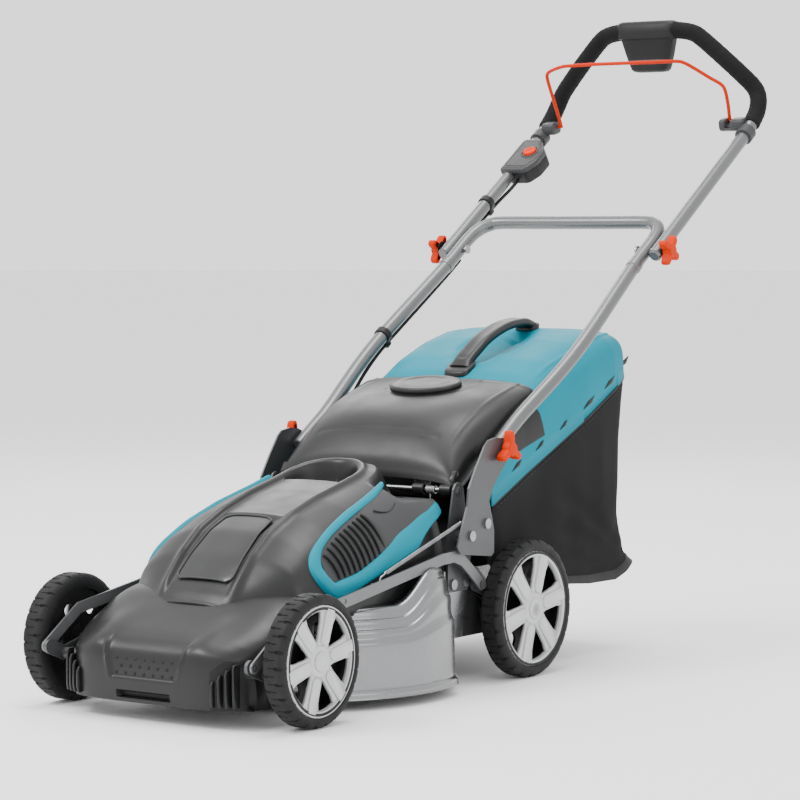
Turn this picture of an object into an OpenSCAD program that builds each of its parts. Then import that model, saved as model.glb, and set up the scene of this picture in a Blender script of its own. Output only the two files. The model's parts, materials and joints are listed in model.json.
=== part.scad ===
// Walk-behind electric rotary lawn mower with a rear grass box and a folding handle.
// The front faces -Y, the mower's left side is +X, up is +Z, units are millimetres.
// Stations along the mower (y) are counted from the front wheel centres, and at_origin() moves
// everything so that the part's origin is the middle of its footprint on the ground.

/* [Overall] */
// Distance from the front wheel centres back to the part's origin
origin_y = 593.5; // [560:0.5:620]
// Distance between the front and rear wheel centres
wheelbase = 553; // [540:1:570]

/* [Wheels] */
// Front wheel outer radius
front_wheel_r = 90; // [85:1:92]
// Rear wheel outer radius
rear_wheel_r = 102; // [98:1:104]
// Width of every tyre
tyre_w = 36; // [32:1:38]
// Centre plane to the outer face of the front tyres
front_face_x = 229; // [227:1:232]
// Centre plane to the outer face of the rear tyres
rear_face_x = 212; // [210:1:216]
// Lugs round each tyre shoulder
lugs = 26; // [18:2:32]
// Radius of the stub axles
stub_r = 6; // [5:0.5:7]

/* [Deck] */
// Outer radius of the cutting deck at its rim
deck_r = 221; // [216:1:222]
// Station of the blade shaft
blade_y = 275; // [270:1:280]
// Height of the deck's bottom rim above the ground
deck_rim_z = 14; // [12:1:20]
// Height of the deck's flat top
deck_top_z = 128; // [124:1:132]
// Steel thickness of the deck
deck_t = 2; // [1.5:0.5:3]
// Length of the cutting blade
blade_len = 408; // [400:2:420]

/* [Handle] */
// Angle of the handle above the ground
handle_angle = 34; // [33:0.5:35]
// Outer radius of the handle tubes
tube_r = 11; // [10:0.5:11]
// Wall thickness of the handle tubes
tube_t = 1.5; // [1.2:0.1:2]
// Radius of the foam grip
grip_r = 15; // [14:0.5:16]

/* [Grass box] */
// Half width of the grass box at its widest
box_w = 174; // [168:1:176]
// Thickness of the hard box walls
box_t = 3; // [2.5:0.5:4]
// Thickness of the fabric bag wall
bag_t = 2.4; // [2:0.2:3]

/* [Hidden] */

dark = [0.27, 0.28, 0.29];
mid_grey = [0.42, 0.43, 0.44];
black = [0.08, 0.08, 0.09];
teal = [0.02, 0.68, 0.78];
orange = [0.95, 0.32, 0.08];
silver = [0.82, 0.83, 0.84];
steel = [0.6, 0.61, 0.62];
fabric = [0.22, 0.23, 0.23];

running = 0.05;
bolt_r = 4;
smooth = 48;
hull_fn = 32;
function unit(v) = v / norm(v);
function catmull(a, b, c, d, t) = 0.5 * (2 * b + (c - a) * t + (2 * a - 5 * b + 4 * c - d) * t * t
    + (3 * b - a - 3 * c + d) * t * t * t);
function curve(p, per) = [
    for (i = [0 : len(p) - 2])
        for (k = [0 : per - 1])
            catmull(p[max(i - 1, 0)], p[i], p[i + 1], p[min(i + 2, len(p) - 1)], k / per),
    p[len(p) - 1],
];
function flipped(p) = [for (i = [len(p) - 1 : -1 : 0]) [-p[i].x, p[i].y, p[i].z]];
function mirrored_path(p) = concat(p, [for (q = flipped(p)) if (q.x < -0.01) q]);

module at_origin() {
    translate([0, -origin_y, 0]) children();
}

module both_sides() {
    children();
    mirror([1, 0, 0]) children();
}

// Extrudes a (y, z) outline along +X from x0
module side_plate(x0, t) {
    translate([x0, 0, 0]) rotate([90, 0, 90]) linear_extrude(t) children();
}

// Round bar along X between two values of x
module bar_x(x0, x1, y, z, r) {
    translate([x0, y, z]) rotate([0, 90, 0]) cylinder(h = x1 - x0, r = r, $fn = smooth);
}

// Outline of a strip of half width r along a line of (y, z) points, with round ends
function ribbon(line, r) =
    let (
        n = len(line),
        dirs = [for (i = [0 : n - 2]) unit(line[i + 1] - line[i])],
        sides = [
            for (i = [0 : n - 1])
                let (a = dirs[max(i - 1, 0)], m = unit(a + dirs[min(i, n - 2)]))
                r * [-m.y, m.x] / (m * a)
        ],
        first = atan2(dirs[0].y, dirs[0].x) + 90,
        last = atan2(dirs[n - 2].y, dirs[n - 2].x) - 90
    )
    concat(
        [for (i = [0 : n - 1]) line[i] - sides[i]],
        [for (k = [1 : 11]) line[n - 1] + r * [cos(last + 15 * k), sin(last + 15 * k)]],
        [for (i = [n - 1 : -1 : 0]) line[i] + sides[i]],
        [for (k = [1 : 11]) line[0] + r * [cos(first + 15 * k), sin(first + 15 * k)]]
    );

// Solid tube along a path; ref must never run parallel to the path
module sweep(path, r, ref, sides = 12) {
    n = len(path);
    rings = [
        for (i = [0 : n - 1])
            let (
                t = unit(path[min(i + 1, n - 1)] - path[max(i - 1, 0)]),
                u = unit(cross(t, ref)),
                v = cross(t, u)
            )
            for (k = [0 : sides - 1])
                path[i] + r * cos(360 * k / sides) * u + r * sin(360 * k / sides) * v
    ];
    walls = [
        for (i = [0 : n - 2])
            for (k = [0 : sides - 1])
                let (a = i * sides + k, b = i * sides + (k + 1) % sides)
                each [[a, a + sides, b + sides], [a, b + sides, b]]
    ];
    first = [for (k = [0 : sides - 1]) k];
    last = [for (k = [sides - 1 : -1 : 0]) (n - 1) * sides + k];
    polyhedron(rings, concat(walls, [first, last]), convexity = 6);
}

// Closed solid through profiles [y, points as (x, z)], all with the same number of points
module loft(stations) {
    m = len(stations[0][1]);
    n = len(stations);
    pts = [for (s = stations) for (q = s[1]) [q.x, s[0], q.y]];
    walls = [
        for (i = [0 : n - 2])
            for (k = [0 : m - 1])
                let (a = i * m + k, b = i * m + (k + 1) % m)
                each [[a, b, b + m], [a, b + m, a + m]]
    ];
    first = [for (k = [m - 1 : -1 : 0]) k];
    last = [for (k = [0 : m - 1]) (n - 1) * m + k];
    polyhedron(pts, concat(walls, [first, last]), convexity = 6);
}

// Half of a superellipse, from +w over the crown to -w
function arch_at(w, z0, z1, p, a) =
    [sign(cos(a)) * w * pow(abs(cos(a)), 2 / p), z0 + (z1 - z0) * pow(abs(sin(a)), 2 / p)];
function arch(w, z0, z1, p, n = 20) = [for (i = [0 : n]) arch_at(w, z0, z1, p, 180 * i / n)];

// --- Height adjustment: cranks that all swing together ---
front_pivot = [-58, 76];
rear_pivot = [480.5, 134];
front_hub = [0, front_wheel_r];
rear_hub = [wheelbase, rear_wheel_r];
lever = [-30, 12];
front_pin = front_pivot + lever;
rear_pin = rear_pivot + lever;
link_x = 181;
link_t = 3;
front_arm_x = 173.5;
rear_arm_x = 169;
arm_t = 5;
axle_bar_r = 8;

module front_axle() {
    outer = front_arm_x + arm_t;
    color(steel) at_origin() {
        bar_x(-outer - 1.5, outer + 1.5, front_pivot.x, front_pivot.y, axle_bar_r);
        both_sides() {
            side_plate(front_arm_x, arm_t) polygon(ribbon([front_pin, front_pivot, front_hub], 10));
            bar_x(front_arm_x + 1, front_face_x - 8, front_hub.x, front_hub.y, stub_r);
            bar_x(front_arm_x + 1, link_x + link_t + 2, front_pin.x, front_pin.y, 3);
        }
    }
}

module rear_crank(side) {
    color(steel) at_origin() mirror([side < 0 ? 1 : 0, 0, 0]) {
        side_plate(rear_arm_x, arm_t) polygon(ribbon([rear_pin, rear_pivot, rear_hub], 10));
        bar_x(rear_arm_x + 1, rear_face_x - 8, rear_hub.x, rear_hub.y, stub_r);
        bar_x(150, rear_arm_x + 1, rear_pivot.x, rear_pivot.y, axle_bar_r);
        bar_x(rear_arm_x + 1, link_x + link_t + 1, rear_pin.x, rear_pin.y, bolt_r);
        bar_x(link_x + link_t + 0.5, link_x + link_t + 2.5, rear_pin.x, rear_pin.y, 6.5);
    }
}

module rear_crank_left() { rear_crank(1); }
module rear_crank_right() { rear_crank(-1); }

// Spring beside the left link bar that helps to lift the deck; its rear wire runs behind the bracket
spring_front = [192, 184];
spring_rear = [424, 250];
spring_hook = [458, 260];
module balance_spring() {
    spring_x = 181;
    spring_r = 4.5;
    d = spring_rear - spring_front;
    color(steel) at_origin() {
        translate([spring_x, spring_front.x, spring_front.y]) rotate([-atan2(d.x, d.y), 0, 0])
            cylinder(h = norm(d), r = spring_r, $fn = smooth);
        side_plate(spring_x - 1.2, 2.4) polygon(ribbon([spring_rear - d / 20, spring_hook], 1.2));
        side_plate(spring_x - 1.2, 2.4)
            polygon(ribbon([spring_front + d / 20, spring_front - [6, 3], spring_front - [7, 7]], 1.3));
    }
}

// Flat bar that arches over the deck's rear corner and drops to the rear crank
link_line = [front_pin, [-20, 134], [318, 187], [350, 192], [380, 193], [400, 186], [424, 168], rear_pin];
spring_peg = [184, 172];
module link_bar(side) {
    color(mid_grey) at_origin() mirror([side < 0 ? 1 : 0, 0, 0]) {
        difference() {
            side_plate(link_x, link_t) polygon(ribbon(link_line, 8));
            bar_x(link_x - 1, link_x + link_t + 1, rear_pin.x, rear_pin.y, bolt_r + running);
            bar_x(link_x - 1, link_x + link_t + 1, front_pin.x, front_pin.y, 4.4);
            // countersunk screw hole
            bar_x(link_x + link_t - 1, link_x + link_t + 1, 112, 156, 3.4);
        }
        // peg for the spring
        if (side > 0) bar_x(177, link_x + 1, spring_peg.x, spring_peg.y, 1.5);
    }
}

module link_bar_left() { link_bar(1); }
module link_bar_right() { link_bar(-1); }

// --- Wheels ---
rim_depth = 17;
module wheel_at(side, hub, face_x) {
    at_origin() mirror([side < 0 ? 1 : 0, 0, 0])
        translate([face_x - tyre_w, hub.x, hub.y]) rotate([0, 90, 0]) children();
}

// Local wheel axis is +Z, from the inner face at 0 to the outer face at tyre_w
module tyre(r) {
    groove = 3.2;
    depth = 2.6;
    color(black) difference() {
        rotate_extrude($fn = 96) difference() {
            translate([r - rim_depth, 0]) square([rim_depth, tyre_w]);
            translate([r - 5, 0]) difference() {
                square([6, 5]);
                translate([0, 5]) circle(5, $fn = smooth);
            }
            translate([r - 5, tyre_w - 5]) difference() {
                square([6, 6]);
                circle(5, $fn = smooth);
            }
        }
        for (i = [0 : lugs - 1]) {
            rotate(360 * i / lugs) translate([r - depth, -groove / 2, tyre_w * 0.62])
                cube([rim_depth, groove, tyre_w]);
            rotate(360 * (i + 0.5) / lugs) translate([r - depth, -groove / 2, -tyre_w * 0.62])
                cube([rim_depth, groove, tyre_w]);
        }
    }
}

// Black wheel body: bore, web with windows, and the band that carries the tyre
module wheel_hub(r) {
    band = r - rim_depth;
    color(black) difference() {
        rotate_extrude($fn = 96) {
            translate([0, 2]) square([19, tyre_w - 10]);
            translate([10, 5]) square([band - 12, 4]);
            translate([band - 4, 1]) square([4, tyre_w - 2]);
        }
        translate([0, 0, -1]) cylinder(h = tyre_w, r = stub_r + running, $fn = smooth);
        for (i = [0 : 5]) {
            rotate(60 * i + 30) translate([band * 0.62, 0, 0])
                cylinder(h = 12, r = band * 0.13, $fn = smooth);
        }
    }
}

// Silver cover: ring, six spokes and the centre cap
module rim_cover(r) {
    ring_r = r - rim_depth - 4;
    base = tyre_w - 7.5;
    color(silver) {
        rotate_extrude($fn = 96) {
            translate([ring_r - 7, base + 1]) square([7, 6]);
            translate([0, base]) square([17, 7.5]);
            translate([0, base + 7]) square([14, 2]);
        }
        for (i = [0 : 5]) {
            rotate(60 * i) translate([10, -8, base + 1]) cube([ring_r - 13, 16, 4]);
        }
    }
}

module front_tyre_left() { wheel_at(1, front_hub, front_face_x) tyre(front_wheel_r); }
module front_hub_left() { wheel_at(1, front_hub, front_face_x) wheel_hub(front_wheel_r); }
module front_rim_left() { wheel_at(1, front_hub, front_face_x) rim_cover(front_wheel_r); }
module front_tyre_right() { wheel_at(-1, front_hub, front_face_x) tyre(front_wheel_r); }
module front_hub_right() { wheel_at(-1, front_hub, front_face_x) wheel_hub(front_wheel_r); }
module front_rim_right() { wheel_at(-1, front_hub, front_face_x) rim_cover(front_wheel_r); }
module rear_tyre_left() { wheel_at(1, rear_hub, rear_face_x) tyre(rear_wheel_r); }
module rear_hub_left() { wheel_at(1, rear_hub, rear_face_x) wheel_hub(rear_wheel_r); }
module rear_rim_left() { wheel_at(1, rear_hub, rear_face_x) rim_cover(rear_wheel_r); }
module rear_tyre_right() { wheel_at(-1, rear_hub, rear_face_x) tyre(rear_wheel_r); }
module rear_hub_right() { wheel_at(-1, rear_hub, rear_face_x) wheel_hub(rear_wheel_r); }
module rear_rim_right() { wheel_at(-1, rear_hub, rear_face_x) rim_cover(rear_wheel_r); }

// --- Deck ---
// Wall line of the bowl from rim to top, as (radius, height); inset shrinks it for the inside
function bowl_line(inset) = [
    [deck_r - inset, deck_rim_z], [deck_r - inset, deck_rim_z + 8], [deck_r - 5 - inset, deck_rim_z + 12],
    [deck_r - 7 - inset, 60], [deck_r - 13 - inset, 66], [deck_r - 15 - inset, 94],
    [deck_r - 23 - inset, 101], [deck_r - 28 - inset, 114], [deck_r - 42 - inset, deck_top_z - inset],
];
chute_w = 128;
chute_floor = [[396, 34], [452, 66], [508, 118]];
chute_roof = [[396, deck_top_z - 4], [440, 168], [508, 262]];
apron_w = 134;
apron_y = -66;
apron_z = 90;

module chute_2d(grow) {
    polygon(concat(
        [for (q = chute_floor) q - [0, grow]],
        [for (i = [2 : -1 : 0]) chute_roof[i] + [0, grow]]
    ));
}

corner_x = 173;
corner_w = 31;
corner_y = 296;
corner_d = 64;
corner_r = 24;
corner_z = 24;
corner_top = 165;
side_wall_x = 159;
side_wall_y = 384;
side_wall_t = 6;
module deck_shell() {
    color(steel) at_origin() difference() {
        union() {
            translate([0, blade_y, 0]) rotate_extrude($fn = 96)
                polygon(concat(bowl_line(0), [[0, deck_top_z], [0, deck_rim_z]]));
            // apron under the front cover
            translate([-apron_w, apron_y, apron_z]) cube([2 * apron_w, 170, 3]);
            both_sides() translate([apron_w - 6, apron_y, apron_z - 34]) cube([6, 200, 34.5]);
        }
        translate([0, blade_y, 0]) rotate_extrude($fn = 96)
            polygon(concat(bowl_line(deck_t), [[0, deck_top_z - deck_t], [0, deck_rim_z - 1],
                [deck_r - deck_t, deck_rim_z - 1]]));
        // grass leaves to the rear
        side_plate(-chute_w, 2 * chute_w) chute_2d(2);
        // motor shaft and axle bar
        translate([0, blade_y, 100]) cylinder(h = 60, r = 36, $fn = smooth);
        bar_x(-apron_w - 1, apron_w + 1, front_pivot.x, front_pivot.y, axle_bar_r + 3);
    }
}

// Tall rear corners that stand on the bowl, and the walls that carry the rear cranks and the brackets
module deck_corners() {
    color(steel) at_origin() both_sides() difference() {
        union() {
            difference() {
                translate([corner_x, corner_y, corner_z])
                    rounded_step(corner_w, corner_d, corner_top - corner_z, corner_r);
                translate([corner_x + deck_t, corner_y + deck_t, corner_z - 1])
                    rounded_step(corner_w - 2 * deck_t, corner_d - 2 * deck_t,
                        corner_top - deck_t - corner_z + 1, corner_r - deck_t);
            }
            translate([side_wall_x, side_wall_y, 70]) cube([side_wall_t, 510 - side_wall_y, 100]);
        }
        translate([0, blade_y, 0]) rotate_extrude($fn = 96)
            polygon(concat(bowl_line(0), [[0, deck_top_z], [0, deck_rim_z]]));
        bar_x(145, 170, rear_pivot.x, rear_pivot.y, axle_bar_r + running);
        for (q = bracket_feet) bar_x(150, 170, q.x, q.y, bolt_r);
    }
}

// Box with its two upright outer corners rounded, standing on z = 0, growing along +X
module rounded_step(w, d, h, r) {
    linear_extrude(h) intersection() {
        square([w, d]);
        union() {
            square([w - r, d]);
            translate([0, r]) square([w, d - 2 * r]);
            for (y = [r, d - r]) translate([w - r, y]) circle(r, $fn = smooth);
        }
    }
}

module discharge_chute() {
    color(black) at_origin() difference() {
        side_plate(-chute_w + 0.5, 2 * chute_w - 1) intersection() {
            chute_2d(1.5);
            translate([410, 0]) square([98, 300]);
        }
        side_plate(-chute_w + 4, 2 * chute_w - 8) chute_2d(-2);
        // sweep of the blade
        translate([0, blade_y, 0]) cylinder(h = 70, r = blade_len / 2 + 6, $fn = smooth);
    }
}

module axle_blocks() {
    color(black) at_origin() both_sides() difference() {
        translate([108, front_pivot.x - 8, front_pivot.y - 14]) cube([18, 26, apron_z - front_pivot.y + 14]);
        bar_x(100, 140, front_pivot.x, front_pivot.y, axle_bar_r + running);
    }
}

// --- Front cover: a low nose between the front wheels ---
cover_stations = [
    // y, half width, bottom, top, squareness
    [-100, 120, 30, 74, 7], [-97, 138, 27, 90, 6], [-88, 154, 26, 102, 5], [-66, 166, 26, 116, 4.6],
    [-36, 170, 26, 132, 4.2], [0, 171, 40, 150, 4], [30, 171, 62, 164, 4], [60, 170, 76, 172, 4],
];
module front_cover() {
    wall = 3;
    color(dark) at_origin() difference() {
        loft([for (s = cover_stations) [s[0], arch(s[1], s[2], s[3], s[4])]]);
        loft([for (s = cover_stations) [s[0] + (s[0] < -90 ? wall * 1.4 : 0) + (s[0] > 50 ? 1 : 0),
            arch(s[1] - wall, s[2] - 1, s[3] - wall, s[4])]]);
        both_sides() bar_x(150, 190, front_pivot.x, front_pivot.y, axle_bar_r + 2);
        translate([-62, -110, 46]) cube([124, 12, 3]);
        translate([-46, -110, 33]) cube([92, 30, 8]);
        for (row = [0 : 2], i = [-3 : 3])
            translate([i * 15 + (row == 1 ? 7 : 0), -98, 63 + row * 9]) rotate([90, 0, 0])
                cylinder(h = 12, r = 2.2, $fn = 24, center = true);
    }
}

// --- Motor hood ---
hood_p = 3;
hood_base = 129;
cable_r = 3;
cable_hole = [-132, 246];
hood_widths = [[0, 125], [30, 140], [80, 152], [140, 160], [210, 165], [300, 165], [360, 163], [392, 156]];
hood_crowns = [
    [0, 150], [20, 174], [60, 214], [100, 245], [150, 268], [210, 287], [280, 304], [340, 320],
    [365, 324], [392, 312],
];
function hood_w(y) = lookup(y, hood_widths);
function hood_z(y) = lookup(y, hood_crowns);
// Point on the left side of the hood at station y, arch angle a, lifted outwards by h
function hood_at(y, a, h) =
    let (q = arch_at(hood_w(y) + h, hood_base, hood_z(y) + h, hood_p, a)) [q.x, y, q.y];
hood_ys = [62.4, 80, 110, 145, 180, 215, 250, 290, 330, 360, 378, 392];
ridge_w = 102;
ridge_ys = [14, 24, 40, 60.4];
ridge_base = [[14, 157], [24, 162], [40, 167.4], [60.4, 172.6]];
hood_rows = concat(
    [for (y = ridge_ys) [y, ridge_w, lookup(y, ridge_base), hood_z(y)]],
    [for (y = hood_ys) [y, hood_w(y), hood_base, hood_z(y)]]
);

module hood_body() {
    loft([for (q = hood_rows) [q[0], arch(q[1], q[2], q[3], hood_p, 28)]]);
}

module motor_hood() {
    wall = 3;
    color(dark) at_origin() difference() {
        hood_body();
        difference() {
            loft([for (q = hood_rows) [
                q[0] < 20 ? q[0] + wall : (q[0] > 61 ? min(max(q[0], 62.4 + wall), 392 - wall) : q[0]),
                arch(q[1] - wall, q[2] - 2, q[3] - wall, hood_p, 28),
            ]]);
            // material left standing round the finger bowl
            translate([0, 322, 281]) cylinder(h = 60, r = 57, $fn = smooth);
        }
        translate([0, 318, 285]) bowl_cut();
        translate([cable_hole.x, 400, cable_hole.y]) rotate([90, 0, 0])
            cylinder(h = 20, r = cable_r + 0.4, $fn = smooth);
    }
}

// Oval finger bowl in the top of the hood
module bowl_cut() {
    intersection() {
        cylinder(h = 60, r = 54, $fn = smooth);
        translate([0, 8, 0]) cylinder(h = 60, r = 50, $fn = smooth);
    }
}

// Strip that lies on the hood; rows are [y and angle of one edge, angle and y of the other edge]
module hood_strip(path, t) {
    n = len(path);
    pts = [
        for (s = path) each [
            hood_at(s[0], s[1], 0.3), hood_at(s[0], s[1], t),
            hood_at(s[3], s[2], t), hood_at(s[3], s[2], 0.3),
        ]
    ];
    walls = [
        for (i = [0 : n - 2])
            for (k = [0 : 3])
                let (a = i * 4 + k, b = i * 4 + (k + 1) % 4)
                each [[a, b, b + 4], [a, b + 4, a + 4]]
    ];
    e = (n - 1) * 4;
    ends = [[2, 1, 0], [3, 2, 0], [e, e + 1, e + 2], [e, e + 2, e + 3]];
    polyhedron(pts, concat(walls, ends), convexity = 6);
}

// U-shaped trim: [outer y, outer angle, inner angle, inner y] round the loop
trim_path = [
    [322, 62, 58, 322], [280, 60, 55, 282], [240, 57.5, 52, 244], [200, 55, 49, 205],
    [160, 51, 45.5, 168], [125, 46, 41, 136], [102, 40, 36.5, 120], [91, 31, 29, 110],
    [93, 20, 20.5, 112], [104, 10, 14, 122], [124, 4, 12, 140], [160, 2.5, 12.5, 172],
    [200, 3, 15, 206], [240, 5, 18.5, 240], [280, 8, 22, 276], [320, 12, 26, 312],
    [352, 16, 30, 344],
];
module side_trim(side) {
    color(teal) at_origin() mirror([side < 0 ? 1 : 0, 0, 0]) difference() {
        hood_strip(trim_path, 4);
        hood_body();
    }
}
module side_trim_left() { side_trim(1); }
module side_trim_right() { side_trim(-1); }

// Smooth panel inside the trim, behind the vent, in bands that each run up the side
panel_ys = [236, 262, 290, 318, 340];
module side_panel(side) {
    steps = 8;
    color(mid_grey) at_origin() mirror([side < 0 ? 1 : 0, 0, 0]) difference() {
        for (i = [0 : len(panel_ys) - 2]) {
            low = 21.5 + (panel_ys[i] - 236) * 0.115;
            high = 50.5 + (panel_ys[i] - 236) * 0.045;
            hood_strip([for (k = [0 : steps]) let (a = low + (high - low) * k / steps)
                [panel_ys[i + 1], a, a, panel_ys[i]]], 2.2);
        }
        hood_body();
    }
}
module side_panel_left() { side_panel(1); }
module side_panel_right() { side_panel(-1); }

// Slanted cooling ribs inside the front of the trims
module vent_grilles() {
    steps = 4;
    color(dark) at_origin() both_sides() difference() {
        for (i = [0 : 8]) {
            y = 124 + i * 12;
            low = 15.5 + i * 0.45;
            high = 37 + i * 1.5;
            hood_strip([for (k = [0 : steps]) let (a = low + (high - low) * k / steps)
                [y + 5 + k * 2, a, a, y + k * 2]], 2.8);
        }
        hood_body();
    }
}

// Smoked window on the front slope
module hood_window() {
    ys = [66, 84, 104, 124, 146];
    half = 50;
    color(black) at_origin() loft([
        for (y = ys) let (
            drop = function(x) (hood_z(y) - hood_base) * (1 - pow(1 - pow(abs(x) / hood_w(y), hood_p),
                1 / hood_p)),
            xs = [-half, -25, 0, 25, half]
        ) [y, concat(
            [for (i = [4 : -1 : 0]) [xs[i], hood_z(y) - drop(xs[i]) + 2]],
            [for (x = xs) [x, hood_z(y) - drop(x) + 0.4]]
        )]
    ]);
}

// --- Motor and cutter ---
motor_floor = 136;
motor_r = 62;
module motor_housing() {
    color(silver) at_origin() translate([0, blade_y, 0]) difference() {
        union() {
            translate([0, 0, deck_top_z + 0.2]) cylinder(h = 4, r = 90, $fn = smooth);
            translate([0, 0, deck_top_z + 0.2]) cylinder(h = 142, r = motor_r, $fn = smooth);
        }
        translate([0, 0, motor_floor]) cylinder(h = 128, r = motor_r - 4, $fn = smooth);
        translate([0, 0, 100]) cylinder(h = 60, r = 15, $fn = smooth);
        translate([0, 0, 262]) cylinder(h = 5, r = 13, $fn = smooth);
    }
}

module motor_stator() {
    color("peru") at_origin() translate([0, blade_y, 150]) difference() {
        cylinder(h = 90, r = motor_r - 4.1, $fn = smooth);
        translate([0, 0, -1]) cylinder(h = 92, r = 36, $fn = smooth);
        for (i = [0 : 11]) rotate(30 * i) translate([34, -3, -1]) cube([14, 6, 92]);
    }
}

module motor_bearings() {
    color(silver) at_origin() for (z = [122, 256]) translate([0, blade_y, z]) difference() {
        cylinder(h = 10, r = z > 200 ? 13 : 15, $fn = smooth);
        translate([0, 0, -1]) cylinder(h = 12, r = 7 + running, $fn = smooth);
    }
}

module motor_rotor() {
    color(steel) at_origin() translate([0, blade_y, 0]) {
        translate([0, 0, 49]) cylinder(h = 216, r = 7, $fn = smooth);
        translate([0, 0, 152]) cylinder(h = 86, r = 35, $fn = smooth);
    }
}

module cooling_fan() {
    color(black) at_origin() translate([0, blade_y, 84]) difference() {
        union() {
            cylinder(h = 3, r = 58, $fn = smooth);
            cylinder(h = 24, r = 14, $fn = smooth);
            for (i = [0 : 9]) rotate(36 * i) translate([12, -1.2, 0]) cube([44, 2.4, 20]);
        }
        translate([0, 0, -1]) cylinder(h = 30, r = 7, $fn = smooth);
    }
}

module blade_carrier() {
    color(black) at_origin() translate([0, blade_y, 53]) difference() {
        union() {
            cylinder(h = 30.5, r = 20, $fn = smooth);
            translate([-34, -22, 0]) cube([68, 44, 6]);
        }
        translate([0, 0, -1]) cylinder(h = 40, r = 7, $fn = smooth);
    }
}

module blade() {
    blade_w = 46;
    at_origin() translate([0, blade_y, 0]) {
        color(steel) translate([0, 0, 49]) difference() {
            union() {
                translate([-blade_len / 2, -blade_w / 2, 0]) cube([blade_len, blade_w, 4]);
                // lifting wings on the trailing edges
                for (a = [0, 180]) rotate(a) translate([blade_len / 2 - 90, blade_w / 2 - 4, 0])
                    rotate([42, 0, 0]) cube([90, 18, 3]);
            }
            translate([0, 0, -1]) cylinder(h = 6, r = 7, $fn = smooth);
            // ground cutting edges
            for (a = [0, 180]) rotate(a) translate([blade_len / 2 - 100, -blade_w / 2 - 4, 3])
                rotate([-30, 0, 0]) cube([120, 12, 8]);
        }
        // bolt and washer that hold it on the shaft
        color(steel) {
            translate([0, 0, 45]) cylinder(h = 4, r = 17, $fn = smooth);
            translate([0, 0, 36]) cylinder(h = 9, r = 10, $fn = 6);
        }
    }
}

// --- Handle brackets, hinge rod and bolts ---
handle_dir = [cos(handle_angle), sin(handle_angle)];
lower_pivot = [497, 342];
upper_pivot_s = 517;
upper_pivot = lower_pivot + upper_pivot_s * handle_dir;
flap_hinge = [412, 285];
bracket_x = 188;
bracket_t = 3;
inner_x = 165.3;
bracket_feet = [[396, 150], [428, 152]];
bracket_spacers = [[410, 221], [450, 236]];
spacer_r = 7;
bracket_outer = [
    [375, 208], [384, 196], [464, 187], [471, 192], [471, 225], [464, 250], [458, 268], [468, 288],
    [496, 316], [509, 328], [513, 342], [509, 353], [497, 358], [476, 360], [456, 357], [446, 349],
    [424, 319], [405, 290], [401, 264], [385, 228],
];
bracket_inner = [
    [384, 144], [388, 139], [434, 139], [440, 144], [444, 200], [462, 228], [462, 246], [446, 250],
    [430, 252], [425, 288], [419, 296], [412, 298], [405, 296], [399, 288], [386, 230],
];

module handle_bracket(side) {
    color(steel) at_origin() mirror([side < 0 ? 1 : 0, 0, 0]) difference() {
        union() {
            side_plate(bracket_x, bracket_t) polygon(bracket_outer);
            side_plate(inner_x, bracket_t) polygon(bracket_inner);
        }
        bar_x(180, 200, lower_pivot.x, lower_pivot.y, bolt_r + running);
        bar_x(160, 172, flap_hinge.x, flap_hinge.y, bolt_r + running);
        for (q = bracket_feet) bar_x(160, 172, q.x, q.y, bolt_r);
        for (q = bracket_spacers) bar_x(160, 195, q.x, q.y, bolt_r);
    }
}
module handle_bracket_left() { handle_bracket(1); }
module handle_bracket_right() { handle_bracket(-1); }

// Bolts through the bracket feet, bolts with spacers between its plates, and the handle's pivot bolts
module bracket_bolts() {
    inner_face = inner_x + bracket_t;
    outer_face = bracket_x + bracket_t;
    color(silver) at_origin() both_sides() {
        for (q = bracket_feet) {
            bar_x(156, inner_face + 1, q.x, q.y, bolt_r);
            bar_x(inner_face, inner_face + 4, q.x, q.y, 7.5);
        }
        for (q = bracket_spacers) {
            bar_x(inner_x, outer_face + 1, q.x, q.y, bolt_r);
            bar_x(inner_face, bracket_x, q.x, q.y, spacer_r);
            bar_x(outer_face, outer_face + 4, q.x, q.y, 7.5);
        }
        bar_x(163.5, outer_face + 14, lower_pivot.x, lower_pivot.y, bolt_r);
        bar_x(162, 164.5, lower_pivot.x, lower_pivot.y, 6.5);
    }
}

module flap_hinge_rod() {
    rod_end = inner_x + bracket_t;
    color(silver) at_origin() {
        bar_x(-rod_end - 1, rod_end + 1, flap_hinge.x, flap_hinge.y, bolt_r);
        both_sides() bar_x(rod_end, rod_end + 2.5, flap_hinge.x, flap_hinge.y, 6.5);
        // closing spring between the left knuckles
        for (i = [0 : 5]) translate([114 + i * 2.6, flap_hinge.x, flap_hinge.y]) rotate([0, 90, 0])
            rotate_extrude($fn = smooth) translate([bolt_r + 1.2, 0]) circle(1.2, $fn = 16);
        translate([114, flap_hinge.x + 5.2, flap_hinge.y - 40]) cylinder(h = 40, r = 1.1, $fn = 16);
    }
}

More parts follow.
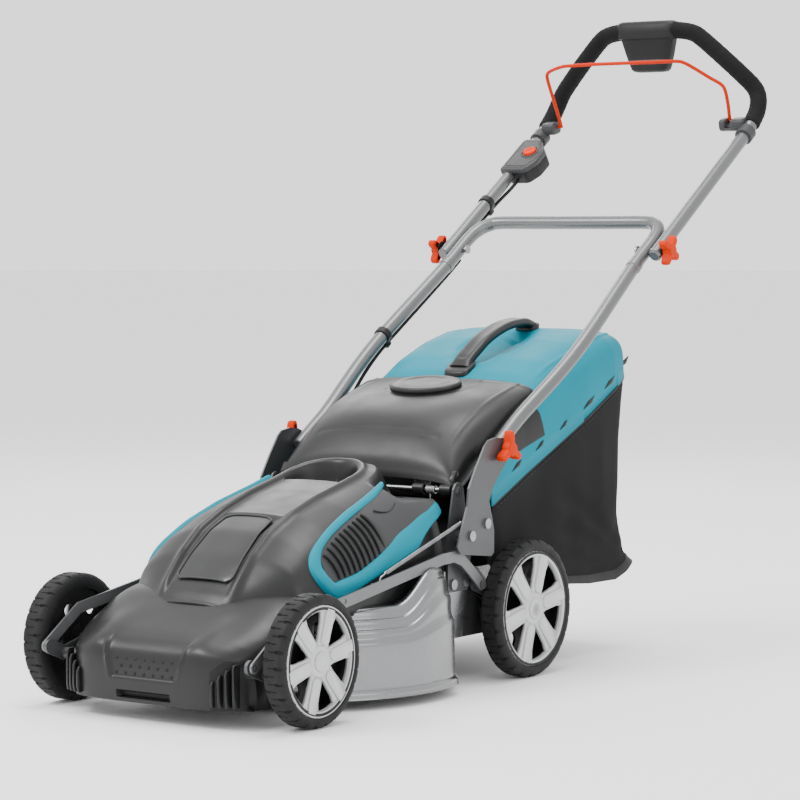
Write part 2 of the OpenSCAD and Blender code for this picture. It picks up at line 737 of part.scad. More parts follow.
// --- Rear flap: arched cover over the discharge opening and the box front ---
flap_w = 160;
flap_stations = [
    // y, side edge height, crown height
    [409, 283, 300], [420, 286, 334], [440, 293, 362], [466, 312, 385], [500, 338, 403],
    [542, 369, 418], [585, 395, 428], [626, 415, 436],
];
module flap_loft(shrink) {
    loft([for (s = flap_stations) [s[0], arch(flap_w - shrink, s[1] - (shrink > 0 ? 30 : 0), s[2] - shrink,
        3, 24)]]);
}
module rear_flap() {
    knuckle_r = 9;
    color(dark) at_origin() {
        difference() {
            union() {
                flap_loft(0);
                translate([0, 572, 419]) rotate([13, 0, 0]) flap_boss();
            }
            difference() {
                loft([for (s = flap_stations) [s[0] + (s[0] < 410 ? 2 : (s[0] > 620 ? 2 : 0)),
                    concat([[flap_w - 3, s[1] - 40]], arch(flap_w - 3, s[1] - 1, s[2] - 3, 3, 22),
                    [[-flap_w + 3, s[1] - 40]])]]);
            }
            bar_x(-200, 200, flap_hinge.x, flap_hinge.y, knuckle_r - 0.5);
        }
        both_sides() for (x = [90, 138]) difference() {
            union() {
                bar_x(x, x + 20, flap_hinge.x, flap_hinge.y, knuckle_r);
                translate([x, flap_hinge.x, flap_hinge.y + 2]) cube([20, 14, 24]);
            }
            bar_x(x - 1, x + 21, flap_hinge.x, flap_hinge.y, bolt_r + running);
        }
    }
}
// Oval grip on top of the flap
module flap_boss() {
    intersection() {
        cylinder(h = 14, r = 60, $fn = smooth);
        translate([0, 30, 0]) cylinder(h = 14, r = 75, $fn = smooth);
        translate([0, -30, 0]) cylinder(h = 14, r = 75, $fn = smooth);
    }
}

// --- Grass box ---
// Height of the line where the hard cover meets the fabric
function seam_z(y) = 238 + 0.494 * (y - 482);
box_front = 514;
box_back = 892;
cover_plan = [
    [box_front, 157], [600, 161], [660, 166], [760, box_w], [840, box_w], [876, 168], [box_back, 150],
];
cover_crowns = [[box_front, 352], [560, 368], [606, 388], [632, 408], [660, 438], [700, 464], [780, 492],
    [840, 507], [876, 507], [box_back, 480]];
cover_ys = [box_front, 560, 606, 632, 660, 700, 780, 840, 876, box_back];
function box_at(y) = lookup(y, cover_plan);

module cover_body() {
    loft([for (y = cover_ys) [y, arch(box_at(y), seam_z(y), lookup(y, cover_crowns), 5, 24)]]);
}

module box_top_cover() {
    color(teal) at_origin() difference() {
        cover_body();
        loft([for (y = cover_ys) [y == box_front ? y - 1 : (y == box_back ? y - box_t : y),
            arch(box_at(y) - box_t, seam_z(y) - 1, lookup(y, cover_crowns) - box_t, 5, 24)]]);
        // row of slanted slots along each side, just above the seam
        for (i = [0 : 6]) both_sides()
            translate([box_w - 30, 560 + i * 46, seam_z(560 + i * 46) + 14]) rotate([36, 0, 0])
                cube([40, 22, 6]);
    }
}

module box_front_frame() {
    color(dark) at_origin() difference() {
        translate([-153, box_front - 3, 130]) cube([306, 9, 169]);
        translate([-chute_w + 4, box_front - 4, 140]) cube([2 * chute_w - 8, 11, 122]);
    }
}

// Side view of the bag, closed by the seam line on top
function bag_side(t) = [
    [box_front + 6, seam_z(520) - t], [box_front + 6, 140 + t], [640, 128 + t], [700, 121 + t],
    [790, 117 + t], [box_back - 16 - t, 134 + t], [box_back - 8 - t, 150 + t],
    [box_back - 2 - t, seam_z(880) - t],
];
function bag_plan(t) = [
    [box_front + 6, 155 - t], [600, 159 - t], [664, 163 - t], [720, 170 - t], [790, 173 - t],
    [850, 172 - t], [box_back - 10 - t, 160 - t], [box_back - 3 - t, 140 - t],
];
module bag_solid(t) {
    plan = bag_plan(t);
    intersection() {
        side_plate(-200, 400) polygon(bag_side(t));
        translate([0, 0, 100]) linear_extrude(400)
            polygon(concat([for (q = plan) [q.y, q.x]],
                [for (i = [len(plan) - 1 : -1 : 0]) [-plan[i].y, plan[i].x]]));
    }
}
module fabric_bag() {
    color(fabric) at_origin() difference() {
        bag_solid(0);
        bag_solid(bag_t);
        translate([-chute_w + 4, box_front, 141]) cube([2 * chute_w - 8, 12, 121]);
        // open towards the hard cover above
        intersection() {
            translate([0, 0, 4]) bag_solid(bag_t + 0.6);
            translate([0, 0, 2]) bag_solid(bag_t);
        }
        side_plate(-150, 300) polygon([[box_front + 12, seam_z(526) - 8], [box_front + 12, seam_z(526) + 20],
            [box_back - 12, seam_z(880) + 20], [box_back - 12, seam_z(880) - 8]]);
    }
}

module box_carry_handle() {
    // path of the grip in the centre plane
    pts = [[0, 668, 452], [0, 690, 472], [0, 730, 500], [0, 780, 519], [0, 826, 524], [0, 852, 513]];
    color(dark) at_origin() difference() {
        union() {
            for (x = [-9, 9]) translate([x, 0, 0]) sweep(curve(pts, 3), 8, [1, 0, 0], 10);
            translate([-16, 848, 505]) cube([32, 16, 10]);
            translate([-20, 654, 440]) rotate([24, 0, 0]) cube([40, 30, 12]);
        }
        cover_body();
    }
}

// --- Handle ---
handle_normal = [0, -sin(handle_angle), cos(handle_angle)];
// Point at distance s up the handle line from the lower pivot, at x, raised n out of its plane
function on_handle(s, x, n = 0) =
    [x, lower_pivot.x, lower_pivot.y] + s * [0, handle_dir.x, handle_dir.y] + n * handle_normal;
lower_x = 176;
lower_points = [
    on_handle(-16, lower_x), on_handle(20, lower_x), on_handle(70, lower_x), on_handle(130, lower_x + 6),
    on_handle(190, lower_x + 13), on_handle(250, lower_x + 14), on_handle(400, lower_x + 14),
    on_handle(450, lower_x + 4), on_handle(480, lower_x + 2), on_handle(545, lower_x + 2),
    on_handle(574, lower_x - 4), on_handle(590, lower_x - 18), on_handle(596, lower_x - 38),
    on_handle(596, 60), on_handle(596, 0),
];
lower_path = mirrored_path(curve(lower_points, 2));
upper_x = 201;
handle_ref = [0, -0.8, 0.6];

module hollow_tube(path, ref, extra) {
    n = len(path);
    a = path[0] + extra * unit(path[0] - path[1]);
    b = path[n - 1] + extra * unit(path[n - 1] - path[n - 2]);
    difference() {
        sweep(path, tube_r, ref);
        sweep(concat([a], [for (i = [1 : n - 2]) path[i]], [b]), tube_r - tube_t, ref);
    }
}

module lower_handle() {
    color(silver) at_origin() difference() {
        hollow_tube(lower_path, handle_normal, 3);
        both_sides() bar_x(155, 200, lower_pivot.x, lower_pivot.y, bolt_r + running);
        both_sides() bar_x(155, 200, upper_pivot.x, upper_pivot.y, bolt_r + running);
    }
    // cable clip on the right tube
    color(black) at_origin() translate(on_handle(274, -lower_x - 14, 0)) rotate([handle_angle, 0, 0])
        rotate([-90, 0, 0]) clip();
}

// C-shaped cable clip round a handle tube, its axis along +Z, the cable's side facing +Y
module clip() {
    difference() {
        union() {
            cylinder(h = 12, r = tube_r + 2.5, center = true, $fn = smooth);
            translate([-5, 10, -6]) cube([10, 12.5, 12]);
        }
        cylinder(h = 13, r = tube_r + 0.02, center = true, $fn = smooth);
        translate([0, 17, 0]) cylinder(h = 13, r = 3.1, center = true, $fn = smooth);
    }
}

grip_points = [
    on_handle(478, upper_x), on_handle(600, upper_x), on_handle(720, upper_x), on_handle(820, upper_x),
    on_handle(860, upper_x), [200, 1241, 852], [197, 1262, 882], [189, 1271, 916], [170, 1266, 950],
    [146, 1253, 978], [120, 1241, 993], [90, 1236, 998], [45, 1233, 1000], [0, 1232, 1000],
];
upper_path = mirrored_path(curve(grip_points, 2));
foam_start = 10;

module upper_handle() {
    color(silver) at_origin() difference() {
        hollow_tube(upper_path, handle_ref, 3);
        both_sides() bar_x(180, 225, upper_pivot.x, upper_pivot.y, bolt_r + running);
    }
    color(black) at_origin() translate(on_handle(655, -upper_x, 0)) rotate([handle_angle, 0, 0])
        rotate([-90, 0, 0]) clip();
}

module foam_grip() {
    n = len(upper_path);
    path = [for (i = [foam_start : n - 1 - foam_start]) upper_path[i]];
    m = len(path);
    a = path[0] + 4 * unit(path[0] - path[1]);
    b = path[m - 1] + 4 * unit(path[m - 1] - path[m - 2]);
    color(black) at_origin() difference() {
        sweep(path, grip_r, handle_ref);
        sweep(concat([a], [for (i = [1 : m - 2]) path[i]], [b]), tube_r + 0.15, handle_ref);
        translate([-46, 1200, 960]) cube([92, 60, 60]);
    }
}

// Housing that hangs from the middle of the top bar
module grip_housing() {
    upper_w = 46;
    profile = [
        [1216, 1000], [1218, 1008], [1223, 1014], [1233, 1017], [1243, 1014], [1248, 1008], [1250, 1000],
        [1247, 945], [1243, 935], [1233, 931], [1223, 935], [1219, 945],
    ];
    color(black) at_origin() difference() {
        intersection() {
            side_plate(-upper_w, 2 * upper_w) polygon(profile);
            translate([0, 1260, 0]) rotate([90, 0, 0]) linear_extrude(60)
                polygon([[-30, 930], [30, 930], [38, 938], [47, 1020], [-47, 1020], [-38, 938]]);
        }
        bar_x(-60, 60, 1232.6, 999.8, tube_r + 1);
    }
}

// --- Switch box on the right handle tube ---
switch_s = 736;
switch_len = 98;
module switch_frame() {
    translate(on_handle(switch_s, -upper_x)) rotate([handle_angle, 0, 0]) children();
}
module switch_box() {
    // local +Y runs up the handle, +X inwards, +Z out of the handle's plane
    at_origin() {
        color(mid_grey) difference() {
            switch_frame() difference() {
                hull() {
                    translate([-14, 0, -15]) cube([1, switch_len, 32]);
                    translate([36, 0, -15]) cube([1, switch_len - 30, 32]);
                    translate([48, 24, -15]) cube([1, switch_len - 62, 32]);
                    translate([20, switch_len - 1, -15]) cube([1, 1, 32]);
                }
                rotate([-90, 0, 0]) translate([0, 0, -1])
                    cylinder(h = switch_len + 2, r = tube_r + 0.1, $fn = smooth);
                translate([22, 52, 8]) cylinder(h = 20, r = 13, $fn = smooth);
                translate([22, 52, -10]) cylinder(h = 20, r = 5 + running, $fn = smooth);
            }
        }
        // recessed mains inlet on the underside
        color(black) switch_frame() translate([12, 60, -19]) difference() {
            cube([24, 30, 5]);
            translate([3, 3, -1]) cube([18, 24, 3]);
        }
    }
}

module lock_button() {
    color(orange) at_origin() switch_frame() translate([22, 52, 0]) {
        translate([0, 0, 12]) cylinder(h = 9, r = 12, $fn = smooth);
        translate([0, 0, -3]) cylinder(h = 16, r = 5, $fn = smooth);
    }
}

// --- Bail: thin wire loop in front of the grip ---
bail_pivot = [1222, 842];
bail_r = 3;
bail_points = [
    [168, bail_pivot.x, bail_pivot.y], [166, 1218, 848], [168, 1203, 880], [170, 1183, 920], [165, 1175, 931],
    [148, 1164, 936], [124, 1153, 940], [110, 1150, 941], [60, 1149, 942], [0, 1148, 942],
];
module bail_lever() {
    color(orange) at_origin() {
        sweep(mirrored_path(curve(bail_points, 2)), bail_r, [0, 1, 0.2], 10);
        both_sides() bar_x(168 - bail_r, 186, bail_pivot.x, bail_pivot.y, bail_r);
    }
}

module bail_clamps() {
    s = 858;
    color(mid_grey) at_origin() both_sides() difference() {
        union() {
            translate(on_handle(s - 10, upper_x)) rotate([handle_angle - 90, 0, 0])
                cylinder(h = 20, r = tube_r + 4, $fn = smooth);
            bar_x(176, upper_x, bail_pivot.x, bail_pivot.y, 11);
            translate([177, 1203, 812]) rotate([handle_angle, 0, 0]) cube([24, 20, 24]);
        }
        sweep([for (i = [5 : 11]) upper_path[i]], tube_r + 0.15, handle_ref);
        bar_x(160, 186.5, bail_pivot.x, bail_pivot.y, bail_r + running);
    }
}

// --- Wing knobs on the handle bolts ---
module knob(wings, reach) {
    // local axis +Z away from the handle
    difference() {
        union() {
            cylinder(h = 15.5, r = 11, $fn = smooth);
            for (i = [0 : wings - 1]) rotate(360 * i / wings) {
                translate([0, -5, 1]) cube([reach - 6, 10, 13]);
                translate([reach - 7, 0, 1]) cylinder(h = 13, r = 7, $fn = smooth);
            }
        }
        translate([0, 0, -1]) cylinder(h = 13.5, r = bolt_r + running, $fn = smooth);
    }
}
module lower_knobs() {
    color(orange) at_origin() both_sides()
        translate([bracket_x + bracket_t + 2, lower_pivot.x, lower_pivot.y]) rotate([90, 0, 0])
            rotate([0, 90, 0]) knob(3, 28);
}
module upper_knobs() {
    color(orange) at_origin() both_sides()
        translate([upper_x + tube_r + 1.5, upper_pivot.x, upper_pivot.y]) rotate([60, 0, 0])
            rotate([0, 90, 0]) knob(4, 26);
}

module upper_pivot_bolts() {
    color(silver) at_origin() both_sides() {
        bar_x(163, upper_x + tube_r + 13, upper_pivot.x, upper_pivot.y, bolt_r);
        bar_x(161, 164, upper_pivot.x, upper_pivot.y, 7);
    }
}

// --- Cable from the switch box to the motor ---
cable_in = -17;
cable_lower_points = [
    on_handle(512, -183, -18), on_handle(470, -186, cable_in), on_handle(420, -189, cable_in),
    on_handle(360, -190, cable_in), on_handle(320, -190, cable_in), on_handle(274, -190, cable_in),
    on_handle(230, -189, cable_in), on_handle(180, -185, -19), on_handle(130, -179, -24),
    on_handle(80, -174, -28), on_handle(40, -172, -28), on_handle(14, -172, -26),
];
cable_deck_points = [
    on_handle(10, -172, -26.4), on_handle(-12, -172, -34), [-171, 470, 298], [-168, 455, 272],
    [-160, 436, 256], [-146, 418, 248], [-134, 404, cable_hole.y], [cable_hole.x, 396, cable_hole.y],
    [cable_hole.x, 384, cable_hole.y],
];
cable_upper_points = [
    on_handle(735.5, -186, -9), on_handle(715, -190, -12), on_handle(690, -198, -16),
    on_handle(655, -201, -17), on_handle(610, -200, -17), on_handle(565, -198, -17.5),
    on_handle(522, -197, -18),
];
module cable_upper() {
    color(black) at_origin() sweep(curve(cable_upper_points, 3), cable_r, [1, 0, 0.1], 8);
}
module cable_lower() {
    color(black) at_origin() sweep(curve(cable_lower_points, 3), cable_r, [1, 0, 0.1], 8);
}
module cable_deck() {
    color(black) at_origin() sweep(curve(cable_deck_points, 3), cable_r, [1, 0, 0.1], 8);
}

deck_shell();
deck_corners();
front_cover();
motor_hood();
hood_window();
side_panel_left();
side_panel_right();
side_trim_left();
side_trim_right();
vent_grilles();
motor_housing();
motor_stator();
motor_bearings();
discharge_chute();
handle_bracket_left();
handle_bracket_right();
bracket_bolts();
flap_hinge_rod();
axle_blocks();
cable_deck();
front_axle();
rear_crank_left();
rear_crank_right();
balance_spring();
link_bar_left();
link_bar_right();
front_tyre_left();
front_hub_left();
front_rim_left();
front_tyre_right();
front_hub_right();
front_rim_right();
rear_tyre_left();
rear_hub_left();
rear_rim_left();
rear_tyre_right();
rear_hub_right();
rear_rim_right();
motor_rotor();
cooling_fan();
blade_carrier();
blade();
rear_flap();
box_top_cover();
box_front_frame();
fabric_bag();
box_carry_handle();
lower_handle();
upper_pivot_bolts();
lower_knobs();
upper_knobs();
cable_lower();
cable_upper();
upper_handle();
foam_grip();
grip_housing();
switch_box();
bail_clamps();
bail_lever();
lock_button();
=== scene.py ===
"""Looks of a walk-behind rotary mower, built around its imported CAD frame.

Stations: millimetres from the front wheel centres towards the rear, x to the mower's left, z up.
at() turns them into the frame's metres.
"""
import json
import math

import bmesh
import bpy
import numpy as np
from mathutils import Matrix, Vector

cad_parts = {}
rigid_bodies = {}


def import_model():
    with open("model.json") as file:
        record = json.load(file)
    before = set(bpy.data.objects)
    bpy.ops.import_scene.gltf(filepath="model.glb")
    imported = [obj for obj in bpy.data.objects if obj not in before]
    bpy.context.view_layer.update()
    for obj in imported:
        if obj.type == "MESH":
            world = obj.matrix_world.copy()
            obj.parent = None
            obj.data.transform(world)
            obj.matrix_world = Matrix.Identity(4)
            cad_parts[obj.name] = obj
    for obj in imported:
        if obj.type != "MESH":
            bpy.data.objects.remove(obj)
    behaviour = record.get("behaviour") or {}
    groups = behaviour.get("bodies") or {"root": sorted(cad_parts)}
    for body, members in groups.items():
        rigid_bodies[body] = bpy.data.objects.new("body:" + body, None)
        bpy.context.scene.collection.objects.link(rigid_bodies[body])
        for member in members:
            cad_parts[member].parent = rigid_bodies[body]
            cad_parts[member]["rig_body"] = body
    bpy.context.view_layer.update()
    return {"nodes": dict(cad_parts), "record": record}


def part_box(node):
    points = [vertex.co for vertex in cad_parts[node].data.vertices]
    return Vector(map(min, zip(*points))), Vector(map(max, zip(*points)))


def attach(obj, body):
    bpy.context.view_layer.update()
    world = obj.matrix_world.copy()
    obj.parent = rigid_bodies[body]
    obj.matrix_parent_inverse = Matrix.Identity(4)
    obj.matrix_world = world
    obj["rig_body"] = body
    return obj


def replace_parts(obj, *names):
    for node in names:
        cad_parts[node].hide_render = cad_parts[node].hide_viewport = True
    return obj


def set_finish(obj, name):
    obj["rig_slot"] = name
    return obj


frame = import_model()

MM = 0.001


def box_mm(node):
    low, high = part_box(node)
    return np.array(low) / MM, np.array(high) / MM


def centre_mm(node):
    low, high = box_mm(node)
    return (low + high) / 2


# Row y of station 0, in mm
STATION_0 = centre_mm("front_tyre_left")[1]

# The two folding parts of the handle, and how far out their tubes and the cable lie at the clips
LOWER, UPPER = "lower_handle_set", "upper_handle_set"
UPPER_X = 201
SIDES = ("left", 1), ("right", -1)
CLIPS = {"clip_lower": (274, -190, LOWER), "clip_upper": (655, -UPPER_X, UPPER)}


def at(x, y, z):
    return np.array([x, y + STATION_0, z]) * MM


# ---------------------------------------------------------------- camera, floor and light
def make_camera():
    data = bpy.data.cameras.new("camera")
    data.lens = 132.7
    data.sensor_width = 36
    data.clip_end = 50
    camera = bpy.data.objects.new("camera", data)
    bpy.context.scene.collection.objects.link(camera)
    camera.location = at(2557.6, -3119.1, 660.8)
    camera.rotation_euler = (math.radians(90 - 3.27), 0, math.radians(35.23))
    bpy.context.scene.camera = camera


def area_light(name, place, target, size, watts):
    data = bpy.data.lights.new(name, "AREA")
    data.shape = "RECTANGLE"
    data.size, data.size_y = size
    data.energy = watts
    light = bpy.data.objects.new(name, data)
    bpy.context.scene.collection.objects.link(light)
    light.location = place
    aim = Vector(target) - Vector(place)
    light.rotation_euler = aim.to_track_quat("-Z", "Y").to_euler()


def make_studio():
    area_light("key", (-1.6, -2.4, 3.2), (0, 0, 0.3), (1.6, 1.2), 105)
    area_light("fill", (3.4, -1.4, 1.8), (0, 0, 0.3), (2.4, 2.0), 26)
    area_light("rim", (-2.0, 2.8, 2.6), (0, 0, 0.4), (2.4, 1.6), 45)
    area_light("top", (0, 0.1, 3.6), (0, 0.1, 0), (1.8, 1.8), 80)
    world = bpy.data.worlds.new("studio")
    world.use_nodes = True
    world.node_tree.nodes["Background"].inputs[0].default_value = (1, 1, 1, 1)
    world.node_tree.nodes["Background"].inputs[1].default_value = 1.7
    bpy.context.scene.world = world
    bpy.ops.mesh.primitive_plane_add(size=90, location=(0, 0, -0.0005))
    floor = bpy.context.object
    floor.name = "floor"
    paint = bpy.data.materials.new("floor")
    paint.use_nodes = True
    shader = paint.node_tree.nodes["Principled BSDF"]
    shader.inputs["Base Color"].default_value = (0.9, 0.9, 0.9, 1)
    shader.inputs["Roughness"].default_value = 0.75
    floor.data.materials.append(paint)


# ---------------------------------------------------------------- materials
MATERIALS = {}


class Finish:
    """A Principled material that is built up from object-space textures."""

    def __init__(self, name, colour, rough, metal=0.0, **sockets):
        material = MATERIALS[name] = bpy.data.materials.new(name)
        material.use_nodes = True
        self.tree = material.node_tree
        self.shader = self.tree.nodes["Principled BSDF"]
        self.colour = (*colour, 1)
        self.shader.inputs["Base Color"].default_value = self.colour
        self.shader.inputs["Roughness"].default_value = rough
        self.shader.inputs["Metallic"].default_value = metal
        for socket, value in sockets.items():
            self.shader.inputs[socket.replace("_", " ")].default_value = value
        self.coords = self.tree.nodes.new("ShaderNodeTexCoord").outputs["Object"]
        self.normal = None

    def node(self, kind, source, socket="Vector", **values):
        """A node with its values set and one socket linked to a source."""
        made = self.tree.nodes.new("ShaderNode" + kind)
        for name, value in values.items():
            made.inputs[name.replace("_", " ")].default_value = value
        self.tree.links.new(source, made.inputs[socket])
        return made

    def noise(self, scale, detail=3.0, stretch=None):
        source = self.coords
        if stretch:
            source = self.node("Mapping", source, Scale=stretch).outputs["Vector"]
        return self.node("TexNoise", source, Scale=scale, Detail=detail).outputs["Fac"]

    def cells(self, scale):
        return self.node("TexVoronoi", self.coords, Scale=scale).outputs["Distance"]

    def vary_colour(self, value, darker, lighter):
        ramp = self.node("ValToRGB", value, "Fac")
        for element, share, place in zip(ramp.color_ramp.elements, (darker, lighter), (0.3, 0.7)):
            element.color = (*[min(1, c * share) for c in self.colour[:3]], 1)
            element.position = place
        self.tree.links.new(ramp.outputs["Color"], self.shader.inputs["Base Color"])

    def vary_rough(self, value, first, last):
        scaled = self.node("MapRange", value, "Value", From_Min=0.3, From_Max=0.7, To_Min=first, To_Max=last)
        self.tree.links.new(scaled.outputs["Result"], self.shader.inputs["Roughness"])

    def bump(self, value, height, strength=1.0):
        bump = self.node("Bump", value, "Height", Distance=height, Strength=strength)
        if self.normal:
            self.tree.links.new(self.normal, bump.inputs["Normal"])
        self.normal = bump.outputs["Normal"]
        self.tree.links.new(self.normal, self.shader.inputs["Normal"])


def moulded(name, colour, rough, grain=0.00006, **sockets):
    """Moulded plastic: fine spark-eroded grain, faint flow marks and uneven gloss."""
    finish = Finish(name, colour, rough, **sockets)
    finish.vary_colour(finish.noise(6, 4), 0.9, 1.1)
    finish.vary_rough(finish.noise(24, 5), rough - 0.05, rough + 0.08)
    finish.bump(finish.noise(1400, 2), grain)
    finish.bump(finish.noise(14, 2), 0.0002, 0.35)


def painted(name, colour, rough, metal, flake=0.00003, **sockets):
    """Sprayed metal: orange peel under a clear coat, and a little flake."""
    finish = Finish(name, colour, rough, metal, **sockets)
    finish.vary_colour(finish.noise(900, 1), 0.92, 1.08)
    finish.vary_rough(finish.noise(40, 4), rough - 0.05, rough + 0.07)
    finish.bump(finish.noise(260, 2), flake)
    finish.bump(finish.noise(1800, 1), flake / 2)


def bare_steel(name, colour, rough):
    finish = Finish(name, colour, rough, 1.0)
    finish.vary_colour(finish.noise(60, 5), 0.85, 1.1)
    finish.vary_rough(finish.noise(500, 2, (1, 12, 12)), rough - 0.08, rough + 0.12)
    finish.bump(finish.noise(700, 2, (1, 9, 9)), 0.00002)


def rubbery(name, colour, rough, grain):
    finish = Finish(name, colour, rough, Specular_IOR_Level=0.22)
    finish.vary_colour(finish.noise(18, 6), 0.75, 1.4)
    finish.vary_rough(finish.noise(60, 4), rough - 0.08, rough + 0.1)
    finish.bump(finish.noise(grain, 3), 0.00009)


def foamed(name, colour):
    finish = Finish(name, colour, 0.82, Specular_IOR_Level=0.15)
    finish.vary_colour(finish.noise(30, 5), 0.8, 1.3)
    finish.bump(finish.cells(1100), 0.00022)
    finish.bump(finish.noise(120, 3), 0.0002)


def woven(name, colour):
    """Coarse coated polyester: threads run up and across, over and under each other."""
    finish = Finish(name, colour, 0.8, Specular_IOR_Level=0.15)
    nodes, links = finish.tree.nodes, finish.tree.links
    split = nodes.new("ShaderNodeSeparateXYZ")
    links.new(finish.coords, split.inputs[0])

    def maths(operation, a, b=None):
        node = nodes.new("ShaderNodeMath")
        node.operation = operation
        for socket, value in zip(node.inputs, (a, b)):
            if value is None:
                continue
            if isinstance(value, (int, float)):
                socket.default_value = value
            else:
                links.new(value, socket)
        return node.outputs[0]

    pitch = 2 * math.pi / 0.0016
    across = maths("SINE", maths("MULTIPLY", maths("ADD", split.outputs[0], split.outputs[1]), pitch))
    upward = maths("SINE", maths("MULTIPLY", split.outputs[2], pitch))
    weave = maths("MULTIPLY", across, upward)
    finish.vary_colour(finish.noise(9, 5), 0.8, 1.22)
    finish.bump(weave, 0.00012)
    finish.bump(finish.noise(45, 3), 0.0006, 0.5)


painted("deck_steel", (0.2, 0.203, 0.208), 0.22, 0.95, Coat_Weight=0.5, Coat_Roughness=0.12)
moulded("cover_plastic", (0.0085, 0.0086, 0.009), 0.34, Specular_IOR_Level=0.34)
moulded("smoked_window", (0.006, 0.0062, 0.0065), 0.16, 0.00001, Coat_Weight=0.3)
moulded("grey_plastic", (0.034, 0.0345, 0.036), 0.42, Specular_IOR_Level=0.3)
moulded("teal_plastic", (0.0, 0.2, 0.27), 0.45, 0.00003, Specular_IOR_Level=0.08)
painted("motor_alloy", (0.55, 0.55, 0.55), 0.45, 0.9, 0.0001)
bare_steel("winding", (0.55, 0.25, 0.1), 0.4)
bare_steel("bright_steel", (0.33, 0.335, 0.345), 0.3)
painted("bracket_steel", (0.08, 0.082, 0.085), 0.38, 0.6)
painted("link_steel", (0.15, 0.153, 0.156), 0.4, 0.6)
bare_steel("blade_steel", (0.35, 0.36, 0.37), 0.4)
moulded("black_plastic", (0.006, 0.006, 0.0065), 0.45, Specular_IOR_Level=0.25)
rubbery("cable_rubber", (0.006, 0.006, 0.0065), 0.5, 500)
rubbery("tyre_rubber", (0.009, 0.009, 0.0095), 0.62, 420)
painted("rim_silver", (0.46, 0.465, 0.47), 0.34, 0.35, Coat_Weight=0.3)
woven("bag_fabric", (0.01, 0.0101, 0.0106))
painted("handle_tube", (0.13, 0.132, 0.135), 0.3, 0.6, Coat_Weight=0.2)
moulded("orange_plastic", (0.55, 0.024, 0.0), 0.45, 0.00003, Specular_IOR_Level=0.06)
moulded("orange_wire", (0.47, 0.018, 0.0), 0.45, 0.00002, Specular_IOR_Level=0.06)
foamed("foam", (0.006, 0.006, 0.0065))


def dress_cad():
    for part in frame["record"]["subparts"]:
        obj = frame["nodes"][part["node"]]
        obj.data.materials.clear()
        obj.data.materials.append(MATERIALS[part["material_slot"]])


# ---------------------------------------------------------------- mesh helpers
def add_mesh(name, points, faces, slot, body, crease=38, replaces=(), extra_slots=()):
    """One piece from points in station millimetres; it rides on a body."""
    mesh = bpy.data.meshes.new(name)
    rows = (np.asarray(points, float) + [0, STATION_0, 0]) * MM
    mesh.from_pydata(rows.tolist(), [], [list(map(int, f)) for f in faces])
    edit = bmesh.new()
    edit.from_mesh(mesh)
    bmesh.ops.remove_doubles(edit, verts=edit.verts, dist=0.00002)
    bmesh.ops.recalc_face_normals(edit, faces=edit.faces)
    edit.to_mesh(mesh)
    edit.free()
    for polygon in mesh.polygons:
        polygon.use_smooth = True
    mesh.set_sharp_from_angle(angle=math.radians(crease))
    for s in (slot, *extra_slots):
        mesh.materials.append(MATERIALS[s])
    obj = bpy.data.objects.new(name, mesh)
    bpy.context.scene.collection.objects.link(obj)
    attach(obj, body)
    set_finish(obj, slot)
    if replaces:
        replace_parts(obj, *replaces)
    return obj


def grid_faces(rows, cols, wrap=False):
    across = cols if wrap else cols - 1
    return [
        (i * cols + j, i * cols + (j + 1) % cols, (i + 1) * cols + (j + 1) % cols, (i + 1) * cols + j)
        for i in range(rows - 1)
        for j in range(across)
    ]


def skin(name, grid, slot, body, wrap=False, thick=0.0, caps=False, **options):
    """A grid of points as a surface; thick, in mm, gives it a wall towards its inside."""
    grid = np.asarray(grid, float)
    rows, cols = grid.shape[:2]
    faces = grid_faces(rows, cols, wrap)
    if caps:
        faces.append(tuple(range(cols)))
        faces.append(tuple(range((rows - 1) * cols, rows * cols)))
    obj = add_mesh(name, grid.reshape(-1, 3), faces, slot, body, **options)
    if thick:
        wall = obj.modifiers.new("wall", "SOLIDIFY")
        wall.thickness = abs(thick) * MM
        wall.offset = -1 if thick > 0 else 1
    return obj


def bevelled(obj, width, segments=2, angle=32):
    edge = obj.modifiers.new("edge", "BEVEL")
    edge.width = width * MM
    edge.segments = segments
    edge.limit_method = "ANGLE"
    edge.angle_limit = math.radians(angle)
    edge.harden_normals = True
    return obj


def smooth_path(points, per=10):
    """Catmull-Rom curve through the points."""
    p = np.asarray(points, float)
    padded = np.vstack([p[0], p, p[-1]])
    t = np.linspace(0, 1, per, endpoint=False)[:, None]
    rows = []
    for a, b, c, d in zip(padded, padded[1:], padded[2:], padded[3:]):
        rows.append(0.5 * (2 * b + (c - a) * t + (2 * a - 5 * b + 4 * c - d) * t**2
                           + (3 * b - a - 3 * c + d) * t**3))
    return np.vstack([*rows, p[-1:]])


def tube_grid(path, radius, sides=20, flat=1.0):
    """Rings along a path, turned as little as possible from one to the next."""
    path = np.asarray(path, float)
    radius = np.broadcast_to(radius, len(path))
    tangents = np.gradient(path, axis=0)
    tangents /= np.linalg.norm(tangents, axis=1)[:, None]
    side = np.cross(tangents[0], [0.31, 0.2, 0.93])
    side /= np.linalg.norm(side)
    turn = circle(sides)[:, None]
    rings = []
    for p, t, r in zip(path, tangents, radius):
        side = side - t * (side @ t)
        side /= np.linalg.norm(side)
        other = np.cross(t, side)
        rings.append(p + r * np.cos(turn) * side + r * flat * np.sin(turn) * other)
    return np.array(rings)


